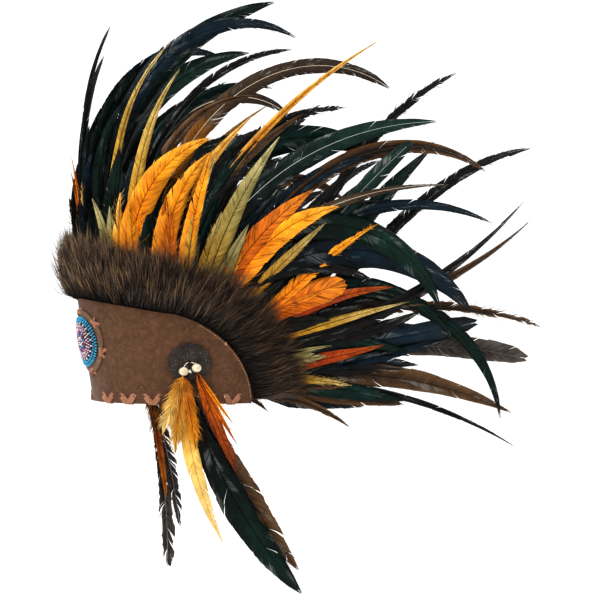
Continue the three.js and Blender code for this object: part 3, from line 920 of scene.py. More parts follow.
@dataclass(frozen=True)
class FurFinish:
    """Long guard hair over dense underwool."""

    name: str
    root: str
    middle: str
    tip: str
    pale_tip: str
    grizzle_and_highlight: tuple[float, float] = (0.62, 0.84)
    lock_tones: tuple[float, float] = (0.3, 1.65)

    def material(self) -> Any:
        """Builds the material: each strand darkens to its root and some have pale tips, which are partly the
        hair's own grizzle and partly painted highlights on single strands; this gives the eye a deep grizzled
        pile.

        Returns:
            The material.
        """
        recipe = Recipe(self.name)
        chance, lock, front, share = recipe.marks()
        dark_stops = ((0.0, self.root), (0.5, self.middle), (1.0, self.tip))
        pale_stops = ((0.0, self.root), (0.45, self.tip), (1.0, self.pale_tip))
        dark = recipe.add("ValToRGB", {0: share}, stops=dark_stops)
        pale = recipe.add("ValToRGB", {0: share}, stops=pale_stops)
        # Pale tips: partly the hair's grizzle, partly painted highlight, stronger on the front locks
        grizzle_and_highlight = recipe.add("MapRange", {0: chance, 1: self.grizzle_and_highlight[0], 2: self.grizzle_and_highlight[1]})
        grizzle_and_highlight = recipe.add("Math", {0: grizzle_and_highlight, 1: front}, operation="MULTIPLY")
        colour = recipe.add("Mix", {0: grizzle_and_highlight, 6: dark, 7: pale}, 2, data_type="RGBA")
        tone = recipe.add("MapRange", {0: lock, 3: self.lock_tones[0], 4: self.lock_tones[1]})
        colour = recipe.add("HueSaturation", {"Value": tone, "Color": colour})
        return recipe.surface({"Base Color": colour, "Roughness": 0.5})


@dataclass(frozen=True)
class SuedeFinish:
    """Suede split: leather with a brushed nap."""

    name: str
    base: str
    dark: str
    light: str
    nap_mm: float = 0.9
    mottle_mm: float = 16.0

    def material(self) -> Any:
        """Builds the material: a mottled ground with fine fibre flecks and a soft sheen, which
        gives the eye a dry, brushed surface.

        Returns:
            The material.
        """
        recipe = Recipe(self.name)
        colour = recipe.cover(self.base, recipe.cloud(self.mottle_mm, 4), (0.35, 0.65), 0.55, self.dark)
        colour = recipe.cover(colour, recipe.cloud(5 * self.nap_mm, 4), (0.45, 0.75), 0.55, self.light)
        nap = recipe.cloud(self.nap_mm, 2)
        colour = recipe.cover(colour, nap, (0.38, 0.7), 0.75, self.dark)
        colour = recipe.cover(colour, recipe.cloud(0.6 * self.nap_mm, 1), (0.62, 0.78), 0.6, self.light)
        sheen = {"Specular IOR Level": 0.1, "Sheen Weight": 0.12, "Sheen Roughness": 0.5}
        return recipe.surface({"Base Color": colour, "Roughness": 0.95, **sheen}, nap, 0.6, 0.35)


@dataclass(frozen=True)
class LeatherFinish:
    """Grain leather with pores, creases and pale scuffs."""

    name: str
    base: str
    dark: str
    scuff: str
    scuffs: float = 0.4
    grain_mm: float = 1.1
    roughness: float = 0.62

    def material(self) -> Any:
        """Builds the material: a pebbled grain with specks where the surface is rubbed.

        Returns:
            The material.
        """
        recipe = Recipe(self.name)
        objects = recipe.add("TexCoord", output="Object")
        pebbles = {"Vector": objects, "Scale": per_mm(self.grain_mm)}
        grain = recipe.add("TexVoronoi", pebbles, "Distance")
        tone = recipe.cloud(9 * self.grain_mm, 4)
        colour = recipe.cover(self.base, tone, (0.35, 0.68), 0.9, self.dark)
        specks = recipe.cloud(0.9 * self.grain_mm, 2)
        colour = recipe.cover(colour, specks, (0.65, 0.73), self.scuffs, self.scuff)
        dull = {0: tone, 1: 0.3, 2: 0.7, 3: self.roughness - 0.08, 4: self.roughness + 0.1}
        look = {"Base Color": colour, "Roughness": recipe.add("MapRange", dull), "Specular IOR Level": 0.2}
        return recipe.surface(look, grain, 0.5, 0.3)


@dataclass(frozen=True)
class WoodFinish:
    """Turned pale wood, lightly waxed."""

    name: str
    base: str
    ring: str
    ring_mm: float = 1.3

    def material(self) -> Any:
        """Builds the material: thin growth rings through a pale, slightly glossy bead.

        Returns:
            The material.
        """
        recipe = Recipe(self.name)
        objects = recipe.add("TexCoord", output="Object")
        growth = {"Vector": objects, "Scale": per_mm(self.ring_mm) / 6, "Distortion": 4.0, "Detail": 2.0}
        rings = recipe.add("TexWave", growth, 1)
        colour = recipe.cover(self.base, rings, (0.4, 1.0), 0.7, self.ring)
        return recipe.surface({"Base Color": colour, "Roughness": 0.42}, rings, 0.25, 0.15)


@dataclass(frozen=True)
class GlassFinish:
    """Opaque seed bead glass."""

    name: str
    base: str
    shade: str

    def material(self) -> Any:
        """Builds the material: small glossy beads that differ a little from one to the next.

        Returns:
            The material.
        """
        recipe = Recipe(self.name)
        colour = recipe.cover(self.base, recipe.cloud(2.2, 1), (0.35, 0.65), 1.0, self.shade)
        return recipe.surface({"Base Color": colour, "Roughness": 0.22, "IOR": 1.52})


@dataclass(frozen=True)
class ThreadFinish:
    """Spun thread or cord."""

    name: str
    base: str
    shade: str
    twist_mm: float = 0.8

    def material(self) -> Any:
        """Builds the material: a matt yarn with painted shade in the hollows between its twists.

        Returns:
            The material.
        """
        recipe = Recipe(self.name)
        twist = recipe.cloud(self.twist_mm, 2)
        # The shade colour over the twist pattern is painted shade in the yarn's hollows
        colour = recipe.cover(self.base, twist, (0.4, 0.65), 0.8, self.shade)
        return recipe.surface({"Base Color": colour, "Roughness": 0.8}, twist, 0.5, 0.2)


SUEDE = SuedeFinish("brown suede", "593f2e", "412c1f", "785740")
RAW_SUEDE = SuedeFinish("tan suede, raw edge", "6f5440", "4c3628", "927258")
LACE_SUEDE = SuedeFinish("tan suede lace", "9b6e56", "744b35", "bb9078", 0.8, 7.0)
STRAP_LEATHER = LeatherFinish("dark strap leather", "3d2b20", "2a1c14", "6b5442", 0.2)
DISC_LEATHER = LeatherFinish("charcoal leather", "322925", "1e1916", "9a9084", 1.0, 1.3)
BACKING_LEATHER = LeatherFinish("raw hide backing", "5a4636", "3c2d22", "7d6650", 0.3)
FUR = FurFinish("brown fur", "080604", "1c120b", "462f1d", "bb986e")
BEAD_WOOD = WoodFinish("pale turned wood", "d8caae", "ab946c")
WHITE_THREAD = ThreadFinish("white cotton thread", "dedad0", "a9a294")
TAN_THREAD = ThreadFinish("tan waxed thread", "c9a07a", "8a5c38")


class BeadColour(Enum):
    """The glass colours of the rosette."""

    TURQUOISE = GlassFinish("turquoise glass", "3aaed2", "1d7fa8")
    WHITE = GlassFinish("white glass", "dcd9dc", "b9b6bd")
    BLACK = GlassFinish("black glass", "0b0c11", "1a1c26")
    ROSE = GlassFinish("rose glass", "c9a6b8", "a97f96")
    RED = GlassFinish("red glass", "9c1624", "6e0c18")
    BLUE = GlassFinish("blue glass", "1f5aa6", "143c78")


MADE: dict[Any, Any] = {}


def dressed(finish: Any) -> Any:
    """Gives a finish's material, which is made once.

    Args:
        finish: The finish.

    Returns:
        The material.
    """
    if finish not in MADE:
        MADE[finish] = finish.material()
    return MADE[finish]


class VaneForm(Enum):
    """Outlines of a vane: the width at shares of its length, as shares of the full width."""

    TAIL = ((0, 0.08), (0.1, 0.25), (0.34, 0.88), (0.6, 1.0), (0.8, 0.72), (0.93, 0.34), (1, 0.0))
    LEAF = ((0, 0.2), (0.15, 0.5), (0.4, 1.0), (0.65, 0.86), (0.85, 0.46), (1, 0.0))
    LANCE = ((0, 0.3), (0.2, 0.75), (0.45, 1.0), (0.7, 0.7), (0.88, 0.3), (1, 0.0))
    SPOON = ((0, 0.1), (0.3, 0.6), (0.6, 0.95), (0.85, 1.0), (0.95, 0.75), (1, 0.2))
    RIBBON = ((0, 0.2), (0.2, 0.75), (0.5, 1.0), (0.8, 0.8), (0.94, 0.45), (1, 0.0))


@dataclass(frozen=True)
class Growth:
    """One feather: where it leaves the seam, how it bends and what it is.

    at is a share of the half edge. start, end and bend give its direction at root and tip in
    degrees above the rearward line, and the power that spreads the change; wave adds to it at
    mid length. long and wide are shares of the full length and width. lean is the outward
    drift at the tip as a share of the length. fray and split roughen the vane.
    """

    at: float
    start: float
    end: float
    bend: float
    wave: float
    long: float
    wide: float
    lean: float
    plumage: Plumage
    form: VaneForm = VaneForm.TAIL
    fray: float = 0.08
    split: float = 0.05


@dataclass
class Route:
    """A feather's centre line with the directions across it and out of its face."""

    points: Array
    across: Array
    outward: Array
    length: float

    def at(self, shares: Array) -> tuple[Array, Array, Array]:
        """Gives points, across and outward directions at shares of the length.

        Args:
            shares: The shares.

        Returns:
            The three arrays.
        """
        steps = np.linspace(0, 1, len(self.points))
        past = np.clip(shares - 1, 0, None)
        ahead = unit(self.points[-1] - self.points[-4])
        points = between(shares, steps, self.points) + ahead * column(past * self.length)
        return points, unit(between(shares, steps, self.across)), unit(between(shares, steps, self.outward))


def turned(across: Array, outward: Array, degrees: Array) -> tuple[Array, Array]:
    """Twists a feather's face about its own line by degrees at each step."""
    turn = column(np.radians(degrees))
    return across * np.cos(turn) + outward * np.sin(turn), outward * np.cos(turn) - across * np.sin(turn)


@dataclass(frozen=True)
class Feather:
    """One feather being built: its row, its route, its width, its own number and its material's."""

    row: Growth
    route: Route
    width: float
    seed: float
    finish: int

    def half(self, shares: Array) -> Array:
        """Gives half the vane's width at shares of the length."""
        table = np.array(self.row.form.value)
        return 0.5 * self.width * np.interp(shares, table[:, 0], table[:, 1])


@dataclass
class FeatherMaker:
    """Builds feathers: two vanes of barbs on a tapered quill, with down at the base."""

    rng: np.random.Generator
    tail_length: float = 350
    hackle_length: float = 200
    full_width: float = 23
    layer_spacing: float = 1.9
    layer_run: float = 25
    layers: int = 5
    seam_depth: float = 9
    seat: float = -3.5
    fur_height: float = 48
    outward_slope: float = 0.03
    steps: int = 84
    fewest_barbs: int = 18
    barb_span: tuple[float, float] = (0.02, 0.985)
    barb_pitch: float = 3.1
    barb_slant: float = 1.35
    barb_middle: float = 0.42
    quill_radius: float = 0.85
    quill_tip: float = 0.18
    quill_step: float = 9
    vane_thickness: float = 0.35
    parting: float = 0.07
    parting_width: tuple[float, float] = (0.8, 9)
    slide: tuple[float, float] = (0.2, 3)
    lift: tuple[float, float] = (0.3, 1.5)
    camber: tuple[float, float] = (0.14, 0.24)
    fringe_per_mm: float = 0.3
    fringe_past: tuple[float, float] = (1.0, 12)
    down_span: tuple[float, float] = (0.04, 0.34)
    down_angle: float = 48
    twist: float = 16
    front_turn: float = 22
    def route(self, row: Growth, length: float, inward: float) -> Route:
        """Grows a feather from the seam behind the fur.

        Args:
            row: The feather.
            length: Its length.
            inward: How far its layer lies inside the hackles.

        Returns:
            Its route.
        """
        side = math.copysign(1, row.at)
        edge = HEAD.seam(row.at, 0, self.seat)
        edge_outward = HEAD.edge_normal(row.at)
        along = HEAD.rearward(row.at)
        outward = np.array([side * along[1], -side * along[0], 0.0])
        point = edge.copy()
        points = []
        across = []
        for step in range(self.steps + 1):
            share = step / self.steps
            degrees = row.start + (row.end - row.start) * share ** row.bend
            turn = math.radians(degrees + row.wave * math.sin(math.pi * share))
            heading = along * math.cos(turn) + UP * math.sin(turn)
            travelled = length * share
            free = max(0.0, travelled - self.fur_height)
            proud = np.dot(point - edge, edge_outward) - self.outward_slope * travelled - free
            if proud > 0:
                point = point - edge_outward * proud
            drift = row.lean * free * share - inward * float(smoothstep(travelled, 0, self.layer_run))
            points.append(point + outward * drift)
            across.append(np.cross(heading, outward))
            point = point + heading * (length / self.steps)
        points[0] = HEAD.seam(row.at, -self.seam_depth / 2, self.seat)
        shares = np.linspace(0, 1, self.steps + 1)
        ease = smoothstep(shares, 0.15, 0.6)
        phase = self.rng.uniform(0, 6)
        forward = self.front_turn * float(1 - smoothstep(abs(row.at), 0.05, 0.4)) * side
        degrees = ease * (self.twist * np.sin(phase + 2.6 * shares) - forward)
        outwards = np.broadcast_to(outward, (self.steps + 1, 3))
        sides, faces = turned(unit(np.array(across)), outwards, degrees)
        return Route(np.array(points), sides, faces, length)

    def vane(self, pile: Pile, feather: Feather) -> None:
        """Adds the two vanes of a feather, whose barbs cling in groups that part in narrow splits.

        Args:
            pile: Where they go.
            feather: The feather.
        """
        rng = self.rng
        row = feather.row
        route = feather.route
        count = max(self.fewest_barbs, round(route.length / self.barb_pitch))
        even = np.linspace(*self.barb_span, count)
        for side in (1, -1):
            parting = np.flatnonzero(rng.random(count - 6) < self.parting + row.split) + 3
            order = np.sort(np.concatenate([np.arange(count), parting]))
            opens = np.append(True, order[1:] == order[:-1])
            group = np.cumsum(opens) - 1
            sizes = np.bincount(group)
            within = (np.arange(len(order)) - np.flatnonzero(opens)[group]) / np.maximum(sizes[group] - 1, 1)
            roots = even[order]
            half = feather.half(roots)
            reach = np.minimum(self.barb_slant * half / route.length, (1 - roots) * 0.93)
            widest = self.parting_width[0] + self.parting_width[1] * row.fray
            gaps = rng.random(len(sizes)) ** 2 * widest * (sizes > 2)
            slides = rng.normal(0, self.slide[0] + self.slide[1] * row.fray, len(sizes))
            shift = gaps[group] * (0.5 - within) + slides[group] * 0.5
            tips = roots + reach + shift * np.minimum(1, half / 4) / route.length
            ragged = 0.7 * rng.random(len(sizes))[group] + 0.3 * rng.random(len(order))
            edge_half = feather.half(tips) * (1 - row.fray * ragged)
            lift = rng.normal(0, self.lift[0] + self.lift[1] * row.fray, len(sizes))[group]
            middles = roots + self.barb_middle * reach
            base, across, outward = route.at(roots)
            middle, middle_across, middle_out = route.at(middles)
            edge, edge_across, edge_out = route.at(tips)
            start = base + across * (0.2 * side) + outward * 0.1
            middle = middle + middle_across * column(side * 0.56 * edge_half)
            middle = middle + middle_out * column(self.camber[0] * edge_half + 0.5 * lift)
            edge = edge + edge_across * column(side * edge_half)
            edge = edge + edge_out * column(lift - self.camber[1] * edge_half)
            thick = middle_out * (self.vane_thickness / 2)
            rings = np.stack([start, middle + thick, edge, middle - thick], axis=1)
            faces = ring_faces(len(order), 4).reshape(-1, 4, 4)[~opens[1:]].reshape(-1, 4)
            opening = np.flatnonzero(opens)
            closing = np.append(opening[1:] - 1, len(order) - 1)
            corners = np.arange(4)
            first = opening[:, None] * 4 + corners[None, ::-1]
            last = closing[:, None] * 4 + corners[None]
            faces = np.concatenate([faces, first, last])
            places = np.stack([roots, middles, tips, middles], axis=1)
            across_marks = np.array([0.05, 0.56, 1.0, 0.56]) * side
            marks = marked(len(order), 4, across_marks, column(roots * route.length), feather.seed, places)
            faces = faces if side > 0 else flipped(faces)
            pile.add(rings.reshape(-1, 3), faces, feather.finish, marks)

    def fringe(self, pile: Pile, feather: Feather) -> None:
        """Lets fine barb ends stand past the edges of a vane.

        Args:
            pile: Where they go.
            feather: The feather.
        """
        rng = self.rng
        row = feather.row
        route = feather.route
        count = round(route.length * self.fringe_per_mm * (0.7 + 3 * row.fray))
        shares = rng.uniform(0.04, 0.97, count)
        side = np.where(rng.random(count) < 0.5, -1.0, 1.0)
        half = feather.half(shares)
        base, across, outward = route.at(shares)
        ahead = unit(np.cross(outward, across))
        root = base + across * column(side * half * 0.55) + outward * column(rng.normal(0, 0.25, count))
        past = rng.random(count) ** 2 * (self.fringe_past[0] + self.fringe_past[1] * row.fray)
        turn = math.atan(1 / self.barb_slant) + rng.normal(0, 0.12, count)
        long = 0.42 * half / np.sin(turn) + past
        heading = ahead * column(np.cos(turn)) + across * column(side * np.sin(turn))
        bent = unit(heading + ahead * 0.35 + outward * column(rng.normal(0, 0.12, count)))
        bend = root + heading * column(0.55 * long)
        routes = np.stack([root, bend, bend + bent * column(0.45 * long)], axis=1)
        points, faces = strands(routes, np.array([[0.2, 0.16]]))
        across_marks = [0.6] * 3 + [0.95] * 3 + [1.1]
        place = column(np.minimum(1, shares + 0.02))
        marks = marked(count, 7, across_marks, column(shares * route.length), feather.seed, place)
        pile.add(points, faces, feather.finish, marks)

    def quill(self, pile: Pile, feather: Feather) -> None:
        """Adds the quill as a tapered rod.

        Args:
            pile: Where it goes.
            feather: The feather.
        """
        steps = max(8, round(feather.route.length / self.quill_step))
        shares = np.linspace(0, 0.97, steps)
        points, across, outward = feather.route.at(shares)
        radius = self.quill_radius * (0.6 + 0.4 * feather.row.wide)
        radii = radius * (1 - shares) ** 0.8 + self.quill_tip
        turns = np.radians([90, -30, -150])
        arms = across[:, None] * np.cos(turns)[None, :, None]
        arms = arms + outward[:, None] * np.sin(turns)[None, :, None]
        rings = points[:, None] + arms * radii[:, None, None]
        marks = marked(steps, 3, QUILL_MARK, 0, feather.seed, column(shares))
        ends = [[2, 1, 0], [steps * 3 - 3, steps * 3 - 2, steps * 3 - 1]]
        pile.add(rings.reshape(-1, 3), ring_faces(steps, 3).tolist() + ends, feather.finish, marks)

    def barbs(
        self, pile: Pile, feather: Feather, count: int,
        span: tuple[float, float], length: tuple[float, float], open_angle: float,
    ) -> None:
        """Adds loose barbs beside the quill.

        Args:
            pile: Where they go.
            feather: The feather.
            count: How many barbs.
            span: First and last share of the length that they grow from.
            length: Shortest and longest barb.
            open_angle: Degrees between a barb and the quill.
        """
        rng = self.rng
        shares = rng.uniform(*span, count)
        base, across, outward = feather.route.at(shares)
        ahead = unit(np.cross(outward, across))
        side = np.where(rng.random(count) < 0.5, -1.0, 1.0)
        turn = np.radians(open_angle + rng.normal(0, 14, count))
        long = rng.uniform(*length, count)
        raised = rng.normal(0, 0.25, count)
        routes = [base]
        for step in range(3):
            bend = turn * (1 - 0.28 * step)
            heading = ahead * column(np.cos(bend)) + across * column(side * np.sin(bend))
            heading = unit(heading + outward * column(raised))
            routes.append(routes[-1] + heading * column(long / 3))
        points, faces = strands(np.stack(routes, axis=1), np.array([[0.22, 0.2, 0.15]]))
        steps = np.append(np.repeat([0.1, 0.5, 0.9], 3), 1.2)
        place = np.minimum(1, shares[:, None] + 0.08 * steps[None])
        marks = marked(count, 10, steps, column(rng.uniform(0, 60, count)), feather.seed, place)
        pile.add(points, faces, feather.finish, marks)

    def add(self, pile: Pile, row: Growth, route: Route, finish: int, fluff: int = 0) -> None:
        """Adds one whole feather to a pile.

        Args:
            pile: Where it goes.
            row: The feather's row.
            route: Its route.
            finish: Number of its material.
            fluff: How many barbs of down it has at the base.
        """
        feather = Feather(row, route, self.full_width * row.wide, self.rng.random(), finish)
        self.vane(pile, feather)
        self.quill(pile, feather)
        self.fringe(pile, feather)
        if fluff:
            lengths = (0.5 * feather.width, 1.1 * feather.width)
            self.barbs(pile, feather, fluff, self.down_span, lengths, self.down_angle)


P = Plumage
F = VaneForm

# Tail feathers, front to rear, in the columns of Growth
TAILS = (
    Growth(0.02, 95, 62, 2.4, 0, 0.73, 0.34, 0.02, P.BLACK, F.RIBBON, 0.10),
    Growth(0.06, 95, 34, 1.8, 0, 0.72, 0.75, 0.05, P.GREEN, F.TAIL, 0.06),
    Growth(0.13, 93, 12, 1.3, 0, 1.02, 1.15, 0.02, P.GREEN, F.TAIL, 0.05),
    Growth(0.19, 92, -36, 2.1, 0, 1.07, 0.85, 0.04, P.BLUE, F.TAIL, 0.22, 0.12),
    Growth(0.22, 92, 42, 2.4, 0, 0.72, 0.45, 0.06, P.GOLD, F.LANCE, 0.05, 0.03),
    Growth(0.25, 87, 2, 1.6, 0, 0.90, 0.45, 0.01, P.BLACK, F.RIBBON, 0.20, 0.14),
    Growth(0.28, 88, 52, 2.4, 0, 0.64, 0.55, 0.07, P.GOLD, F.LANCE, 0.10, 0.04),
    Growth(0.33, 88, -12, 2.2, 0, 0.73, 0.60, 0.05, P.BROWN, F.LANCE, 0.20, 0.12),
    Growth(0.31, 78, -40, 1.9, 0, 1.08, 0.80, 0.03, P.TWO_TONE, F.RIBBON, 0.12, 0.07),
    Growth(0.37, 92, -32, 1.0, 0, 0.92, 1.30, 0.05, P.TEAL, F.TAIL, 0.05),
    Growth(0.42, 76, 30, 0.8, 0, 0.94, 0.40, 0.07, P.AMBER, F.LANCE, 0.05, 0.02),
    Growth(0.53, 78, 0, 0.9, 0, 0.90, 0.95, 0.06, P.PALE_QUILLED, F.TAIL, 0.06),
    Growth(0.62, 60, -42, 2.0, 0, 0.98, 0.75, 0.02, P.UMBER, F.TAIL, 0.12, 0.08),
    Growth(0.60, 72, -76, 1.1, 0, 0.85, 1.30, 0.08, P.GREEN, F.TAIL, 0.05),
    Growth(0.66, 52, -30, 1.5, 0, 0.88, 0.55, 0.05, P.BLUE, F.TAIL, 0.15, 0.10),
    Growth(0.67, 62, -56, 1.0, 0, 0.82, 1.35, 0.05, P.BLUE, F.TAIL, 0.06),
    Growth(0.68, 35, 22, 1.0, 28, 0.96, 0.60, 0.00, P.BLACK, F.RIBBON, 0.45, 0.22),
    Growth(0.70, 38, 42, 1.0, 8, 0.72, 0.70, 0.07, P.PALE_QUILLED, F.SPOON, 0.12),
    Growth(0.73, 36, -88, 1.3, 0, 0.96, 0.65, 0.03, P.GREEN, F.TAIL, 0.08),
    Growth(0.75, 15, 8, 3.3, 29, 1.00, 0.60, 0.01, P.BLACK, F.RIBBON, 0.30, 0.16),
    Growth(0.78, 4, 50, 1.0, 0, 0.91, 0.50, 0.05, P.BLACK, F.LANCE, 0.08),
    Growth(0.80, 14, 44, 2.0, 0, 0.91, 0.50, 0.00, P.BROWN, F.LANCE, 0.08),
    Growth(0.79, 20, -22, 1.6, 0, 0.86, 0.60, 0.07, P.UMBER, F.RIBBON, 0.60, 0.30),
    Growth(0.84, 6, 12, 1.0, 0, 0.66, 0.90, 0.08, P.BLUE, F.SPOON, 0.12),
    Growth(0.86, 10, -14, 1.6, 0, 0.80, 1.00, 0.04, P.SMOKE, F.SPOON, 0.15, 0.08),
    Growth(0.90, 2, 18, 1.0, 0, 0.60, 0.55, 0.02, P.BLUE, F.TAIL, 0.15),
    Growth(0.92, 6, -27, 1.4, 0, 0.76, 1.05, 0.05, P.BROWN, F.LEAF, 0.08),
    Growth(0.94, 3, -34, 1.2, 0, 0.79, 0.35, 0.07, P.BLACK, F.LANCE, 0.15),
    Growth(0.96, -1, -8, 1.0, 0, 0.48, 0.95, 0.03, P.BLACK, F.LEAF, 0.20, 0.1),
    Growth(0.76, 22, 8, 1.0, 0, 0.54, 1.00, 0.04, P.BLACK, F.LEAF, 0.20, 0.1),
    Growth(0.45, 90, 0, 1.1, 0, 0.80, 0.55, 0.00, P.BLACK, F.RIBBON, 0.40, 0.20),
    Growth(0.58, 60, -2, 0.9, 0, 0.80, 0.50, 0.03, P.TWO_TONE, F.LANCE, 0.12, 0.08),
    Growth(0.70, 42, -40, 1.6, 0, 0.68, 0.50, 0.06, P.GREEN, F.TAIL, 0.12, 0.08),
    Growth(0.88, 8, -6, 1.0, 0, 0.50, 1.05, 0.01, P.BLUE, F.LEAF, 0.15, 0.08),
    Growth(0.82, 16, 2, 1.0, 0, 0.52, 1.05, 0.02, P.BLACK, F.LEAF, 0.15, 0.08),
)

# Hackles stand outside the tail feathers
HACKLES = (
    Growth(0.01, 93, 104, 1.2, 0, 0.66, 0.25, 0.03, P.DEEP_ORANGE, F.LANCE, 0.05, 0.02),
    Growth(0.05, 86, 80, 1.0, 0, 0.60, 0.50, 0.10, P.ORANGE, F.LANCE, 0.12),
    Growth(0.21, 96, 118, 1.4, 0, 0.50, 0.45, 0.16, P.KHAKI, F.LEAF, 0.12),
    Growth(0.27, 87, 70, 1.2, 0, 0.68, 0.45, 0.10, P.CREAM, F.LANCE, 0.08),
    Growth(0.30, 96, 14, 1.6, 0, 0.92, 1.15, 0.15, P.ORANGE, F.LEAF, 0.08, 0.04),
    Growth(0.36, 80, 42, 1.0, 0, 1.02, 0.65, 0.10, P.AMBER, F.LANCE, 0.15, 0.08),
    Growth(0.46, 99, 42, 1.4, 0, 0.78, 1.15, 0.12, P.ORANGE, F.LEAF, 0.25, 0.12),
    Growth(0.54, 92, 66, 1.2, 0, 0.76, 0.65, 0.10, P.GOLD, F.LANCE, 0.10),
    Growth(0.58, 76, 54, 1.2, 0, 0.92, 0.90, 0.15, P.KHAKI, F.LANCE, 0.08),
    Growth(0.62, 66, 34, 1.2, 0, 0.80, 1.10, 0.12, P.DEEP_ORANGE, F.LEAF, 0.12),
    Growth(0.65, 70, 12, 1.2, 0, 0.84, 1.20, 0.17, P.ORANGE, F.LEAF, 0.15),
    Growth(0.73, 28, 26, 1.0, 16, 0.90, 0.65, 0.12, P.ORANGE, F.LANCE, 0.30, 0.15),
    Growth(0.76, 40, 14, 1.2, 0, 0.62, 1.05, 0.17, P.DEEP_ORANGE, F.SPOON, 0.08),
    Growth(0.79, 36, 4, 1.2, 0, 0.82, 0.65, 0.14, P.RUST, F.LANCE, 0.08),
    Growth(0.82, 22, 13, 1.0, 0, 0.86, 0.45, 0.11, P.GOLD, F.LANCE, 0.08),
    Growth(0.86, 14, 10, 1.0, 0, 0.46, 0.35, 0.14, P.KHAKI, F.LANCE, 0.08),
    Growth(0.90, 8, 15, 1.0, 0, 0.70, 0.65, 0.16, P.RUST, F.LANCE, 0.12),
    Growth(0.97, -4, -40, 1.4, 0, 0.56, 0.40, 0.10, P.BROWN, F.LEAF, 0.25),
    Growth(0.09, 84, 72, 1.0, 0, 0.60, 0.45, 0.16, P.KHAKI, F.LANCE, 0.10),
    Growth(0.14, 91, 84, 1.0, 0, 0.58, 0.45, 0.12, P.AMBER, F.LANCE, 0.20, 0.1),
    Growth(0.40, 88, 60, 1.2, 0, 0.76, 0.60, 0.16, P.BLUE, F.LANCE, 0.10),
    Growth(0.50, 84, 74, 1.0, 0, 0.76, 0.70, 0.17, P.ORANGE, F.LEAF, 0.25, 0.12),
    Growth(0.69, 50, 42, 1.0, 0, 0.72, 0.60, 0.10, P.GOLD, F.LEAF, 0.15),
)


def root_direction(table: Sequence[Growth], place: float) -> float:
    """Reads the direction at the root between the rows of a table.

    Args:
        table: The rows.
        place: A share of the half edge.

    Returns:
        The direction in degrees.
    """
    shares = np.array([abs(row.at) for row in table])
    order = np.argsort(shares)
    starts = np.array([row.start for row in table])[order]
    return float(np.interp(place, shares[order], starts))


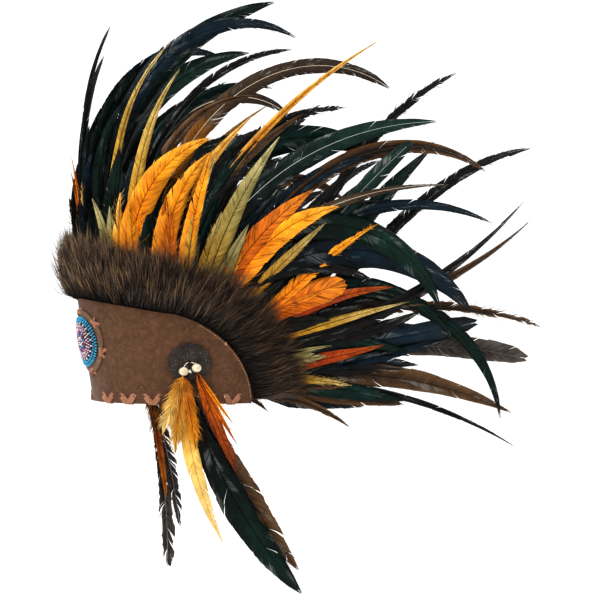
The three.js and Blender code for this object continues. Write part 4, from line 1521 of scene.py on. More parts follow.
@dataclass
class Plume:
    """The feathers of one side, sewn to a strip of hide behind the fur."""

    side: int
    maker: FeatherMaker
    shortened: float = 0.9
    eased: float = 3
    filler_count: int = 34
    downy_count: int = 22
    lowest: float = -6
    rear_part: float = 0.85
    hide: float = 1.2
    seam_gap: float = 0.5
    clearance: float = 0.3
    backing: float = 3

    def rows(self, table: Sequence[Growth]) -> list[Growth]:
        """Repeats the left side's feathers on the right a little shorter, with directions eased.

        Args:
            table: The left side's rows.

        Returns:
            The side's own rows.
        """
        if self.side == LEFT:
            return list(table)
        rows = []
        for index, row in enumerate(table):
            turn = self.eased * math.sin(2.4 * index)
            values = {**row.__dict__, "at": -row.at, "start": row.start + turn}
            rows.append(Growth(**{**values, "end": row.end + 2 * turn, "long": self.shortened * row.long}))
        return rows

    def fillers(self) -> list[Growth]:
        """Short dark feathers that close the plume behind the fur.

        Returns:
            Their rows.
        """
        rng = self.maker.rng
        kinds = (P.BLACK, P.GREEN, P.BLACK, P.BLUE, P.TEAL)
        rows = []
        for place in np.linspace(0.03, 0.96, self.filler_count):
            start = max(self.lowest, root_direction(TAILS, place) + rng.normal(0, 8))
            end = max(2 * self.lowest, start - rng.uniform(5, 30))
            plumage = kinds[int(rng.integers(len(kinds)))]
            long = float(rng.uniform(0.28, 0.46))
            rows.append(Growth(
                self.side * place, start, end, 1.2, 0, long,
                float(rng.uniform(0.8, 1.15)), float(rng.uniform(0.0, 0.03)), plumage, F.LEAF, 0.14, 0.1,
            ))
        return rows

    def companions(self) -> list[Growth]:
        """Shorter dark feathers beside the long ones.

        Returns:
            Their rows.
        """
        rng = self.maker.rng
        kinds = (P.BLACK, P.BLUE, P.GREEN, P.BLACK, P.TEAL, P.UMBER, P.BLACK, P.BROWN)
        rows = []
        for row in self.rows(TAILS):
            turn = rng.normal(0, 9)
            start = row.start + turn
            place = self.side * min(0.97, max(0.02, abs(row.at) + rng.normal(0, 0.015)))
            end = start + 0.75 * (row.end - row.start) + rng.normal(0, 10)
            if abs(place) > self.rear_part:
                start = max(self.lowest, start)
                end = max(2 * self.lowest, end)
            rows.append(Growth(
                place, start, end, row.bend, row.wave,
                row.long * rng.uniform(0.5, 0.8), float(rng.uniform(0.5, 0.95)), rng.uniform(0.0, 0.03),
                kinds[int(rng.integers(5 if abs(place) < 0.3 else len(kinds)))], F.TAIL,
                float(rng.uniform(0.05, 0.16)), 0.08,
            ))
        return rows

    def downy(self) -> list[Growth]:
        """Short fluffy hackles that crowd above the fur.

        Returns:
            Their rows.
        """
        rng = self.maker.rng
        kinds = (P.ORANGE, P.AMBER, P.DEEP_ORANGE, P.GOLD, P.BLACK, P.KHAKI, P.ORANGE, P.UMBER)
        rows = []
        for place in np.linspace(0.04, 0.95, self.downy_count):
            start = root_direction(HACKLES, place) + rng.normal(0, 7)
            rows.append(Growth(
                self.side * place, start, start - rng.uniform(-12, 16), 1.2, 0,
                float(rng.uniform(0.36, 0.56)), float(rng.uniform(0.5, 0.9)), float(rng.uniform(0.08, 0.2)),
                kinds[int(rng.integers(len(kinds)))], F.LEAF, float(rng.uniform(0.3, 0.55)), 0.2,
            ))
        return rows

    def feathers(self, name: str, groups: Sequence[tuple[list[Growth], float, bool, int]], slot: str) -> Any:
        """Builds one piece of feathers.

        Args:
            name: The piece's name.
            groups: Rows with their full length, whether they lie in layers and their down.
            slot: Not used.

        Returns:
            The piece.
        """
        pile = Pile()
        used: list[Plumage] = []
        for rows, length, layered, fluff in groups:
            for index, row in enumerate(rows):
                inward = self.maker.layer_spacing * (1 + index % self.maker.layers) if layered else 0
                route = self.maker.route(row, length * row.long, inward)
                if row.plumage not in used:
                    used.append(row.plumage)
                self.maker.add(pile, row, route, used.index(row.plumage), fluff)
        obj = pile.build(name, [dressed(plumage.value) for plumage in used])
        return finish_piece(obj, [f"plume_{SIDE_WORDS[self.side]}"], 60)

    def strip(self) -> Any:
        """Builds the strip of hide that the quills are sewn to.

        Returns:
            The piece.
        """
        outer = -self.seam_gap - self.clearance - self.hide
        inner = outer - self.backing
        places = self.side * np.linspace(0.006, 1, 60)
        depth = -self.maker.seam_depth
        corners = ((depth, outer), (-1, outer), (-1, inner), (depth, inner))
        rings = np.stack([HEAD.seam(places, along, offset) for along, offset in corners], axis=1)
        word = SIDE_WORDS[self.side]
        pile = Pile()
        pile.add(*skin(rings))
        obj = pile.build(f"feather_strip_{word}", [dressed(BACKING_LEATHER)])
        return finish_piece(obj, [f"plume_{word}"], 30)

    def build(self) -> None:
        """Builds the strip, the tail feathers and the hackles."""
        word = SIDE_WORDS[self.side]
        maker = self.maker
        self.strip()
        self.feathers(f"tail_feathers_{word}", [(self.rows(TAILS), maker.tail_length, True, 0)], "feather")
        tail = maker.tail_length
        hackle = maker.hackle_length
        under = [(self.fillers(), tail, True, 8), (self.companions(), tail, True, 6)]
        self.feathers(f"under_feathers_{word}", under, "feather")
        hackles = [(self.rows(HACKLES), hackle, False, 36), (self.downy(), hackle, False, 50)]
        self.feathers(f"hackles_{word}", hackles, "hackle")


@dataclass
class FurTrim:
    """One strip of fur sewn behind the band's top edge."""

    name: str
    start: float
    stop: float
    rng: np.random.Generator
    strand_count: int = 8000
    height: float = 48
    front_rise: float = 0.12
    bulge: float = 12
    front_bulge: float = 18
    seam_depth: float = 9
    seam_gap: float = 0.5
    hide: float = 1.2
    radius: float = 0.31
    lock_pitch: float = 6.5
    lock_row: float = 9
    gather: float = 0.9
    core: float = 0.72
    core_rows: int = 46
    root_span: float = 0.82
    hair_length: tuple[float, float] = (14, 28)
    stray_length: float = 16

    def swell(self, share: Any) -> tuple[Array, Array]:
        """Gives the fur's bulge and reach at places along the edge.

        Args:
            share: Places along the top edge, from -1 to 1.

        Returns:
            The bulge and the reach.
        """
        front = 1 - smoothstep(np.abs(share), 0.1, 0.5)
        bulge = self.bulge + (self.front_bulge - self.bulge) * front
        return bulge, self.height * (1 + self.front_rise * front)

    def core_rings(self) -> Array:
        """Rings of the dense underwool, a smaller body inside the hair.

        Returns:
            The rings.
        """
        rows = self.core_rows
        shares = np.linspace(self.start, self.stop, rows)
        bulge, reach = self.swell(shares)
        lumps = self.core * (1 + 0.1 * np.sin(shares * 190) + 0.06 * self.rng.normal(0, 1, rows))
        root = HEAD.seam(shares, 0, 0)
        hair = HEAD.hair_direction(shares)
        outward = HEAD.edge_normal(shares)
        ones = np.ones(rows)
        profile = (
            (0.8 * ones, -self.seam_gap * ones),
            (2.5 * ones, 2.4 * ones),
            (0.3 * reach, bulge * lumps * 0.85),
            (0.62 * reach, bulge * lumps),
            (reach * 0.86, 0.4 * bulge),
            (0.3 * reach, 1.2 * ones),
        )
        rings = [HEAD.seam(shares, -self.seam_depth, -self.seam_gap)]
        rings += [root + hair * column(along) + outward * column(out) for along, out in profile]
        rings.append(HEAD.seam(shares, -self.seam_depth, -self.seam_gap - self.hide))
        return np.stack(rings, axis=1)

    def hair(self, pile: Pile) -> None:
        """Adds the guard hair, which gathers in locks.

        Args:
            pile: Where it goes.
        """
        rng = self.rng
        count = self.strand_count
        share = self.start + (self.stop - self.start) * rng.random(count)
        bulge, reach = self.swell(share)
        climb = rng.random(count) ** 1.15
        along = climb * self.root_span * reach
        knots = np.array([0, 0.06, 0.3, 0.62, 0.86])
        outs = np.array([0.12, 0.3, 0.85 * self.core, self.core, 0.42])
        out = bulge * np.interp(climb * self.root_span, knots, outs)
        hair = HEAD.hair_direction(share)
        outward = HEAD.edge_normal(share)
        across = np.cross(outward, hair)
        lock = np.floor(share * HEAD.half_edge / self.lock_pitch) * 57 + np.floor(along / self.lock_row)
        # A fixed scatter by the lock's number, so that hairs of one lock share it
        scatter = np.sin(lock * 12.9898) * 43758.5453
        chance = scatter - np.floor(scatter)
        place = share * HEAD.half_edge / self.lock_pitch
        stray = (place - np.floor(place) - 0.5) * self.lock_pitch * self.gather
        rise = np.radians(30 * (1 - smoothstep(climb, 0.0, 0.5)) + 12 + rng.normal(0, 13, count))
        front = 1 - smoothstep(np.abs(share), 0.1, 0.45)
        long = rng.uniform(*self.hair_length, count) + self.stray_length * rng.random(count) ** 6
        long = long * (0.75 + 0.5 * chance)
        long = long * (1 - 0.2 * climb)
        side = np.radians((chance - 0.5) * 22 + rng.normal(0, 6, count)) - np.arctan(stray / long)
        point = HEAD.seam(share, 0, 0) + hair * column(along) + outward * column(out - 1)
        routes = [point]
        for step in range(2):
            slope = rise * (1 - 0.55 * step)
            heading = hair * column(np.cos(slope)) + outward * column(np.sin(slope))
            heading = unit(heading + across * column(np.tan(side) * (0.5 + 0.6 * step)))
            routes.append(routes[-1] + heading * column(long / 2))
        radius = self.radius * rng.uniform(0.6, 1.35, count)[:, None] * np.array([[1.0, 0.75]])
        points, faces = strands(np.stack(routes, axis=1), radius)
        shade = column(0.7 + 0.3 * front)
        place = np.append(np.repeat([0.0, 0.5], 3), 1)
        pale = column(rng.random(count))
        lock_tone = column(0.6 * chance + 0.4 * rng.random(count))
        pile.add(points, faces, 0, marked(count, 7, pale, lock_tone, shade, place))

    def build(self) -> Any:
        """Builds the underwool and the hair as one piece.

        Returns:
            The piece.
        """
        pile = Pile()
        points, faces = skin(self.core_rings())
        pile.add(points, faces, 0, marked(len(points), 1, 0, 0.3, 0, 0.15))
        self.hair(pile)
        word = self.name.rsplit("_", 1)[-1]
        obj = pile.build(f"fur_{word}", [dressed(FUR)])
        return finish_piece(obj, [self.name], 140)


@dataclass
class Strap:
    """A flat strap, modelled once as a straight blank and then laid along routes."""

    steps: int = 24
    rounding: float = 0.16
    blank: Blank = field(init=False)

    def __post_init__(self) -> None:
        """Models a strap one unit long, wide and thick, with rounded edges."""
        deselect_all()
        bpy.ops.mesh.primitive_grid_add(x_subdivisions=self.steps, y_subdivisions=2, size=1)
        obj = bpy.context.object
        thicken(obj, 1)
        apply_modifier(obj, "BEVEL", width=self.rounding, segments=2, limit_method="ANGLE", angle_limit=1.0)
        self.blank = take_blank(obj)
        self.blank.points = self.blank.points * MM + np.array([0.5, 0.0, -0.5])

    def lay(self, pile: Pile, route: Array, face: Array, width: float, thick: float) -> None:
        """Adds a strap that follows a route.

        Args:
            pile: Where it goes.
            route: Points of its middle line.
            face: Directions out of its face at those points.
            width: Its width.
            thick: Its thickness.
        """
        gaps = np.linalg.norm(np.diff(route, axis=0), axis=1)
        steps = np.concatenate([[0], np.cumsum(gaps)])
        steps /= steps[-1]
        local = self.blank.points
        ahead = unit(np.gradient(route, axis=0))
        middle, facing_out, forward = (between(local[:, 0], steps, row) for row in (route, face, ahead))
        across = unit(np.cross(facing_out, forward))
        out = unit(np.cross(forward, across))
        points = middle + across * column(local[:, 1] * width) + out * column(local[:, 2] * thick)
        pile.add(points, self.blank.faces)


@dataclass
class SuedeBand:
    """The suede band with its lace holes, edge lacing, edge seam and the strap behind the head."""

    rng: np.random.Generator
    columns: int = 193
    rows: int = 25
    hole_diameter: float = 3.2
    hole_height: float = 7
    hole_spacing: float = 12
    lace_pitch: float = 24
    crossings: int = 6
    lace_width: float = 5.2
    lace_thick: float = 1.1
    nick_girth: float = 62
    nick_height: float = 15
    nick_length: float = 6.5
    strap_height: float = 12
    strap_bottom: float = 4
    strap_thick: float = 2
    strap_overlap: float = 22
    strap_tuck: float = 9
    strap_seat: float = -5.3
    stitch_start: float = 0.6
    stitch_pitch: float = 2.7
    stitch_inset: float = 1.6
    stitch_end: float = 0.985
    sag: float = 0.28
    sag_waves: tuple[float, float] = (13, 17)
    flat_front: tuple[float, float] = (34, 48)
    rim_softness: float = 0.45
    nick_lean: float = 56
    nick_spread: float = 2.7

    def middles(self) -> list[float]:
        """Girths of the lace crossings on both sides."""
        found = [self.lace_pitch * (index + 0.5) + self.hole_spacing for index in range(self.crossings)]
        return found + [-girth for girth in found]

    def panel(self) -> Any:
        """Models the band: a grid laid on the wall, given its thickness, softened and pierced.

        Returns:
            The band.
        """
        deselect_all()
        bpy.ops.mesh.primitive_grid_add(x_subdivisions=self.columns - 1, y_subdivisions=self.rows - 1, size=2)
        obj = bpy.context.object
        flat = points_of(obj) * MM
        share = flat[:, 0] * 0.9995
        rise = (flat[:, 1] + 1) / 2
        girth = HEAD.edge_girth(share)
        height = rise * HEAD.edge_height(girth)
        waves = np.sin(girth / self.sag_waves[0] + 0.4) * np.sin(height / self.sag_waves[1] + 1.0)
        sag = self.sag * waves - self.sag
        rim = smoothstep(rise, 0, 0.12) * (1 - smoothstep(rise, 0.9, 1))
        away = smoothstep(np.abs(girth), *self.flat_front)
        place_points(obj, HEAD.band(girth, height, HEAD.suede + sag * rim * away))
        edit(obj, lambda: bpy.ops.mesh.normals_make_consistent(inside=False))
        apply_modifier(obj, "SOLIDIFY", thickness=HEAD.suede * MM, offset=-1, use_even_offset=True)
        bevel = {"width": self.rim_softness * MM, "segments": 2, "limit_method": "ANGLE", "angle_limit": 1.0}
        apply_modifier(obj, "BEVEL", **bevel)
        cutter = self.cutter()
        apply_modifier(obj, "BOOLEAN", operation="DIFFERENCE", object=cutter, solver="EXACT")
        bpy.data.objects.remove(cutter)
        obj.name = "suede_band"
        obj.data.materials.clear()
        obj.data.materials.append(dressed(SUEDE))
        return finish_piece(obj, ["headband"], 32)

    def cutter(self) -> Any:
        """Rods for the lace holes and two thin wedges for the nick in the suede.

        Returns:
            The rods and wedges as one object.
        """
        deselect_all()
        radius = self.hole_diameter / 2 * MM
        bpy.ops.mesh.primitive_cylinder_add(vertices=20, radius=radius, depth=14 * MM)
        rod = take_blank(bpy.context.object)
        deselect_all()
        bpy.ops.mesh.primitive_cube_add(size=1, scale=(self.nick_length * MM, 0.8 * MM, 3 * MM))
        slit = take_blank(bpy.context.object)
        pile = Pile()
        for middle in self.middles():
            for girth in (middle - self.hole_spacing / 2, middle + self.hole_spacing / 2):
                self.press(pile, rod, girth, self.hole_height, HEAD.suede / 2, 0)
        for lean in (-1, 1):
            girth = self.nick_girth + self.nick_spread * lean
            self.press(pile, slit, girth, self.nick_height, HEAD.suede, self.nick_lean * lean)
        return pile.build("band_cutter", [])

    @staticmethod
    def press(pile: Pile, blank: Blank, girth: float, height: float, offset: float, degrees: float) -> None:
        """Adds a blank that stands on the wall.

        Args:
            pile: Where it goes.
            blank: The shape.
            girth: Where its middle goes.
            height: Height of its middle.
            offset: Distance of its middle from the band's inner face.
            degrees: Its turn in the wall's face.
        """
        outward = HEAD.outward(girth, height)
        tangent = np.array([-outward[1], outward[0], 0.0])
        turn = math.radians(degrees)
        first = tangent * math.cos(turn) - UP * math.sin(turn)
        second = np.cross(outward, first)
        centre = HEAD.band(girth, height, offset)
        local = blank.points
        points = centre + local[:, :1] * first + local[:, 1:2] * second + local[:, 2:3] * outward
        pile.add(points, blank.faces)

    def lacing(self) -> Any:
        """Lays the tan laces: from each pair of holes two laces meet at the edge and wrap it.

        Returns:
            The laces.
        """
        strap = Strap(steps=16)
        pile = Pile()
        thick = self.lace_thick
        for middle in self.middles():
            for order, lean in enumerate((-1, 1)):
                hole = middle + lean * self.hole_spacing / 2
                foot = middle + lean * 1.6 + self.rng.normal(0, 0.5)
                proud = HEAD.suede + 0.55 * thick + order * 0.9 * thick
                drop = self.hole_height
                # Girth, height, offset from the inner face, and how far the lace faces outward
                places = (
                    (hole + 0.8 * lean, drop + 0.7, HEAD.suede * 0.4, 0.3),
                    (hole, drop, HEAD.suede + 0.5 * thick, 1.0),
                    ((hole * 0.62 + foot * 0.38), drop * 0.62, HEAD.suede + 0.6 * thick, 1.0),
                    (foot, drop * 0.22, proud, 1.0),
                    (foot - 0.3 * lean, -0.35 * thick, HEAD.suede * 0.9 + order * 0.4, 0.2),
                    (foot - 0.4 * lean, -0.5 * thick, HEAD.suede * 0.1 - order * 0.4, -0.2),
                    (foot - 0.4 * lean, 1.4, -0.6 * thick - order * 0.9 * thick, -1.0),
                    (foot - 0.6 * lean, 6.0, -0.6 * thick - order * 0.9 * thick, -1.0),
                )
                route = np.array([HEAD.band(*place[:3]) for place in places])
                normals = np.array([HEAD.outward(place[0], 0) for place in places])
                sign = np.array([place[3:] for place in places])
                face = unit(normals * sign - UP * (1 - np.abs(sign)))
                width = self.lace_width * self.rng.uniform(0.9, 1.08)
                fine = np.linspace(0, 1, 40)
                coarse = np.linspace(0, 1, len(route))
                smooth = softened(between(fine, coarse, route), 3)
                strap.lay(pile, smooth, unit(between(fine, coarse, face)), width, thick)
        obj = pile.build("edge_lacing", [dressed(LACE_SUEDE)])
        return finish_piece(obj, ["headband"], 50)

    def seam_thread(self) -> Any:
        """Lays the stitches of waxed thread along the curved edge.

        Returns:
            The thread.
        """
        pile = Pile()
        count = round(HEAD.half_edge * (self.stitch_end - self.stitch_start) / self.stitch_pitch)
        for side in (LEFT, RIGHT):
            shares = np.linspace(self.stitch_start, self.stitch_end, count)
            half = 0.36 * self.stitch_pitch / HEAD.half_edge
            ends = []
            for nudge, offset in ((-half, 0.0), (-0.6 * half, 0.45), (0.6 * half, 0.45), (half, 0.0)):
                place = side * (shares + nudge)
                inset = -self.stitch_inset + self.rng.normal(0, 0.12, count)
                ends.append(HEAD.seam(place, inset, HEAD.suede + offset))
            points, faces = strands(np.stack(ends, axis=1), np.array([[0.22, 0.3, 0.28]]), 6)
            pile.add(points, faces)
            knot = HEAD.seam(side * 0.73, -1.2, HEAD.suede + 0.7)
            tuft(pile, self.rng, knot, 14, (0.0, 1.1, 2.0), (0.55, 0.4), 6)
        obj = pile.build("edge_stitches", [dressed(TAN_THREAD)])
        return finish_piece(obj, ["headband"], 90)

    def rear_strap(self) -> Any:
        """Lays the strap that closes the band behind the head.

        Returns:
            The strap.
        """
        strap = Strap(steps=90, rounding=0.2)
        start = float(HEAD.angle_at(HEAD.half_girth - self.strap_overlap))
        turn = np.linspace(start, 360 - start, 91)
        folded = np.where(turn > 180, turn - 360, turn)
        angle = np.abs(folded)
        tucked = smoothstep(angle, HEAD.reach - 3, HEAD.reach + 12)
        eased = smoothstep(angle, HEAD.reach + 20, HEAD.reach + 52)
        offset = self.strap_seat - self.strap_tuck * (tucked - eased) - self.strap_thick / 2
        height = self.strap_bottom + self.strap_height / 2
        pile = Pile()
        route = HEAD.wall(folded, height, offset)
        strap.lay(pile, route, HEAD.normal(folded, height), self.strap_height, self.strap_thick)
        obj = pile.build("rear_strap", [dressed(STRAP_LEATHER)])
        return finish_piece(obj, ["back_strap"], 40)

    def build(self) -> None:
        """Builds the band and what is sewn to it."""
        self.panel()
        self.lacing()
        self.seam_thread()
        self.rear_strap()


def torus_blank(ring: float, tube: float, segments: int, sides: int) -> Blank:
    """Models a small ring whose hole runs along Z.

    Args:
        ring: Radius of its middle line.
        tube: Radius of its section.
        segments: Sections round the ring.
        sides: Corners of a section.

    Returns:
        The ring.
    """
    deselect_all()
    bpy.ops.mesh.primitive_torus_add(
        major_radius=ring * MM, minor_radius=tube * MM, major_segments=segments, minor_segments=sides,
    )
    return take_blank(bpy.context.object)


def round_leather(name: str, diameter: float, thick: float, hole: float, rings: int) -> Any:
    """Models a round leather piece lying flat: a disc inset ring by ring, thickened and bevelled.

    Args:
        name: Its name.
        diameter: Its diameter.
        thick: Its thickness.
        hole: Diameter of its hole, or 0.
        rings: Rings of faces from the rim inward.

    Returns:
        The object, with its back face at height 0.
    """
    deselect_all()
    bpy.ops.mesh.primitive_circle_add(vertices=64, radius=diameter / 2 * MM, fill_type="NGON")
    obj = bpy.context.object
    obj.name = name
    step = (diameter - max(hole, 2)) / 2 / rings * MM

    def inset() -> None:
        """Insets the middle face ring by ring."""
        for _ in range(rings):
            bpy.ops.mesh.inset(thickness=step, depth=0)

    edit(obj, inset, lambda: bpy.ops.mesh.delete(type="FACE") if hole else None)
    thicken(obj, thick * MM)
    apply_modifier(obj, "BEVEL", width=0.28 * thick * MM, segments=3, limit_method="ANGLE", angle_limit=1.0)
    return obj


def lay_on_band(obj: Any, girth: float, height: float, offset: float, relief: Any = None) -> None:
    """Bends a flat piece onto the band.

    Args:
        obj: The piece, lying flat at the origin.
        girth: Where its middle goes.
        height: Height of its middle.
        offset: Distance of its back from the band's inner face.
        relief: Extra offset by distance from its middle, for its upper side.
    """
    flat = points_of(obj)
    out = offset + flat[:, 2]
    if relief is not None:
        out = out + relief(np.hypot(flat[:, 0], flat[:, 1])) * (flat[:, 2] > 0.1)
    place_points(obj, HEAD.band(girth + flat[:, 0], height + flat[:, 1], out))


@dataclass
class Rosette:
    """The beaded rosette on the front: hide backing, seed beads in rings and lace crosses."""

    rng: np.random.Generator
    height: float = 55
    backing_diameter: float = 57
    leather: float = 1.6
    diameter: float = 46
    dome: float = 3
    clearance: float = 0.3
    pad_inset: float = 1.2
    pad_thick: float = 0.9
    bead_pitch: float = 2.7
    bead_ring: float = 0.7
    bead_tube: float = 0.6
    bead_lift: float = 1.15
    cross_radius: float = 27.6
    cross_reach: float = 5.4
    cross_lean: float = 27
    lace_width: float = 3.1
    lace_thick: float = 1.0
    cross_angles: tuple[float, ...] = (100, 40, -20, -80, -140, 160)
    rings: tuple[tuple[BeadColour, ...], ...] = (
        (BeadColour.TURQUOISE,),
        (BeadColour.TURQUOISE,),
        (BeadColour.WHITE, BeadColour.BLACK),
        (BeadColour.ROSE,),
        (BeadColour.WHITE, BeadColour.ROSE, BeadColour.ROSE),
        (BeadColour.RED, BeadColour.ROSE, BeadColour.BLUE),
        (BeadColour.TURQUOISE, BeadColour.RED),
        (BeadColour.WHITE,),
        (BeadColour.RED,),
    )

    @property
    def seat(self) -> float:
        """Offset of the beadwork's back."""
        return HEAD.suede + self.leather + 2 * self.clearance

    def backing(self) -> Any:
        """Models the hand-cut round of suede under the beads.

        Returns:
            The backing.
        """
        obj = round_leather("rosette_leather", self.backing_diameter, self.leather, 0, 8)
        flat = points_of(obj)
        turn = np.arctan2(flat[:, 1], flat[:, 0])
        radius = np.hypot(flat[:, 0], flat[:, 1])
        rim = radius / (self.backing_diameter / 2)
        flat[:, :2] *= column(1 + rim * (0.012 * np.sin(5 * turn) + 0.008 * np.sin(11 * turn + 1)))
        place_points(obj, flat)
        lay_on_band(obj, 0, self.height, HEAD.suede + self.clearance)
        obj.data.materials.append(dressed(RAW_SUEDE))
        return finish_piece(obj, ["rosette_backing"])

    def core(self) -> Any:
        """Models the stitched pad that the beads lie on.

        Returns:
            The pad.
        """
        obj = round_leather("bead_pad", self.diameter - self.pad_inset, self.pad_thick, 0, 8)
        share = 2 / self.diameter
        lay_on_band(obj, 0, self.height, self.seat, lambda r: self.dome * (1 - (r * share) ** 2))
        obj.data.materials.append(dressed(DISC_LEATHER))
        return finish_piece(obj, ["rosette_beadwork"])

    def beads(self) -> Any:
        """Sets the seed beads ring by ring, each with its hole along the ring.

        Returns:
            The beads as one piece.
        """
        blank = torus_blank(self.bead_ring, self.bead_tube, 10, 7)
        pile = Pile()
        colours = list(BeadColour)
        outer = self.diameter / 2 - self.bead_pitch * 0.45
        for order, pattern in enumerate(self.rings):
            radius = max(0.0, outer - order * self.bead_pitch * 0.98)
            count = max(1, round(2 * math.pi * radius / self.bead_pitch))
            count -= count % len(pattern) if count > len(pattern) else 0
            for index in range(count):
                turn = 2 * math.pi * (index + 0.37 * order) / count + self.rng.normal(0, 0.006)
                lift = self.seat + self.bead_lift + self.dome * (1 - (2 * radius / self.diameter) ** 2)
                around = np.array([turn - 0.02, turn + 0.02, turn])
                reach = np.array([radius, radius, radius + 0.4])
                girth = reach * np.cos(around)
                rise = self.height + reach * np.sin(around)
                spots = HEAD.band(girth, rise, lift + self.rng.normal(0, 0.05))
                axis = unit(spots[1] - spots[0]) if radius else UP
                outward = HEAD.outward(girth[2], rise[2])
                second = unit(np.cross(axis, outward))
                third = np.cross(second, axis)
                scale = self.rng.uniform(0.93, 1.04)
                local = blank.points * scale
                points = spots[:2].mean(axis=0) + local[:, :1] * third + local[:, 1:2] * -second
                points = points + local[:, 2:3] * axis
                pile.add(points, blank.faces, colours.index(pattern[index % len(pattern)]))
        obj = pile.build("rosette_beads", [dressed(colour.value) for colour in colours])
        return finish_piece(obj, ["rosette_beadwork"], 90)

    def crosses(self) -> Any:
        """Sews the backing down with lace crosses.

        Returns:
            The laces.
        """
        strap = Strap(steps=12)
        pile = Pile()
        for angle in self.cross_angles:
            turn = math.radians(angle)
            middle = self.cross_radius * np.array([math.cos(turn), math.sin(turn)])
            for order, lean in enumerate((-1, 1)):
                slant = turn + math.radians(90 + self.cross_lean * lean)
                reach = self.cross_reach * np.array([math.cos(slant), math.sin(slant)])
                shares = np.linspace(-1, 1, 11)
                spots = middle[None] + shares[:, None] * reach[None]
                top = HEAD.suede + self.clearance + self.leather
                rim = np.hypot(spots[:, 0], spots[:, 1]) < self.backing_diameter / 2
                ground = np.where(rim, top, HEAD.suede)
                ground = np.convolve(np.pad(ground, 1, mode="edge"), [0.25, 0.5, 0.25], "valid")
                dip = 2.2 * np.abs(shares) ** 6
                offset = ground + 0.7 + order * 0.8 * (1 - np.abs(shares)) - dip
                route = HEAD.band(spots[:, 0], self.height + spots[:, 1], offset)
                face = HEAD.outward(spots[:, 0], self.height)
                strap.lay(pile, route, face, self.lace_width, self.lace_thick)
        obj = pile.build("rosette_laces", [dressed(LACE_SUEDE)])
        return finish_piece(obj, ["rosette_backing"], 50)

    def build(self) -> None:
        """Builds the rosette."""
        self.backing()
        self.core()
        self.beads()
        self.crosses()


@dataclass(frozen=True)
class Drop:
    """One feather of a drop.

    bead is 0 for the front bead and 1 for the rear one. start and end give its tilt in degrees
    rearward of straight down at root and tip. long and wide are shares of the full sizes. out is
    the outward shift at the tip. fluff counts its loose barbs.
    """

    bead: int
    start: float
    end: float
    long: float
    wide: float
    out: float
    plumage: Plumage
    form: VaneForm
    fray: float
    split: float
    fluff: int


LEFT_DROPS = (
    Drop(0, -24, -16, 0.25, 0.50, 3, P.CREAM, F.LEAF, 0.5, 0.3, 420),
    Drop(0, -8, -5, 0.31, 0.70, 5, P.AMBER, F.LEAF, 0.4, 0.3, 420),
    Drop(0, 10, 8, 0.30, 0.60, 6, P.ORANGE, F.LEAF, 0.4, 0.3, 420),
    Drop(0, 0, 27, 0.69, 0.70, 1, P.CREAM, F.LANCE, 0.15, 0.08, 60),
    Drop(0, 15, 42, 0.99, 1.40, -1, P.GREEN, F.TAIL, 0.15, 0.08, 60),
    Drop(0, 24, 37, 0.90, 1.15, -4, P.BROWN, F.TAIL, 0.25, 0.12, 60),
    Drop(1, 14, 20, 0.29, 0.28, 2, P.AUBURN, F.LANCE, 0.10, 0.06, 12),
    Drop(1, 19, 26, 0.44, 0.44, 3, P.AUBURN, F.RIBBON, 0.15, 0.08, 12),
    Drop(1, 26, 32, 0.33, 0.22, 4, P.DEEP_ORANGE, F.LANCE, 0.10, 0.06, 8),
    Drop(1, 32, 38, 0.25, 0.18, 4, P.ORANGE, F.LANCE, 0.10, 0.06, 8),
)
RIGHT_DROPS = (
    Drop(0, 16, 6, 0.58, 0.35, -3, P.DEEP_ORANGE, F.RIBBON, 0.1, 0.05, 30),
    Drop(0, 17, -1, 0.87, 0.75, 0, P.SMOKE, F.SPOON, 0.5, 0.3, 160),
    Drop(0, 18, 14, 0.36, 0.55, -2, P.BARRED, F.LEAF, 0.4, 0.3, 260),
    Drop(0, 20, 14, 0.30, 0.60, 5, P.AMBER, F.LEAF, 0.4, 0.3, 300),
    Drop(0, 22, 8, 0.72, 0.70, 2, P.SMOKE, F.RIBBON, 0.5, 0.3, 80),
    Drop(1, 20, 28, 0.38, 0.90, 3, P.RUST, F.LEAF, 0.15, 0.12, 60),
)


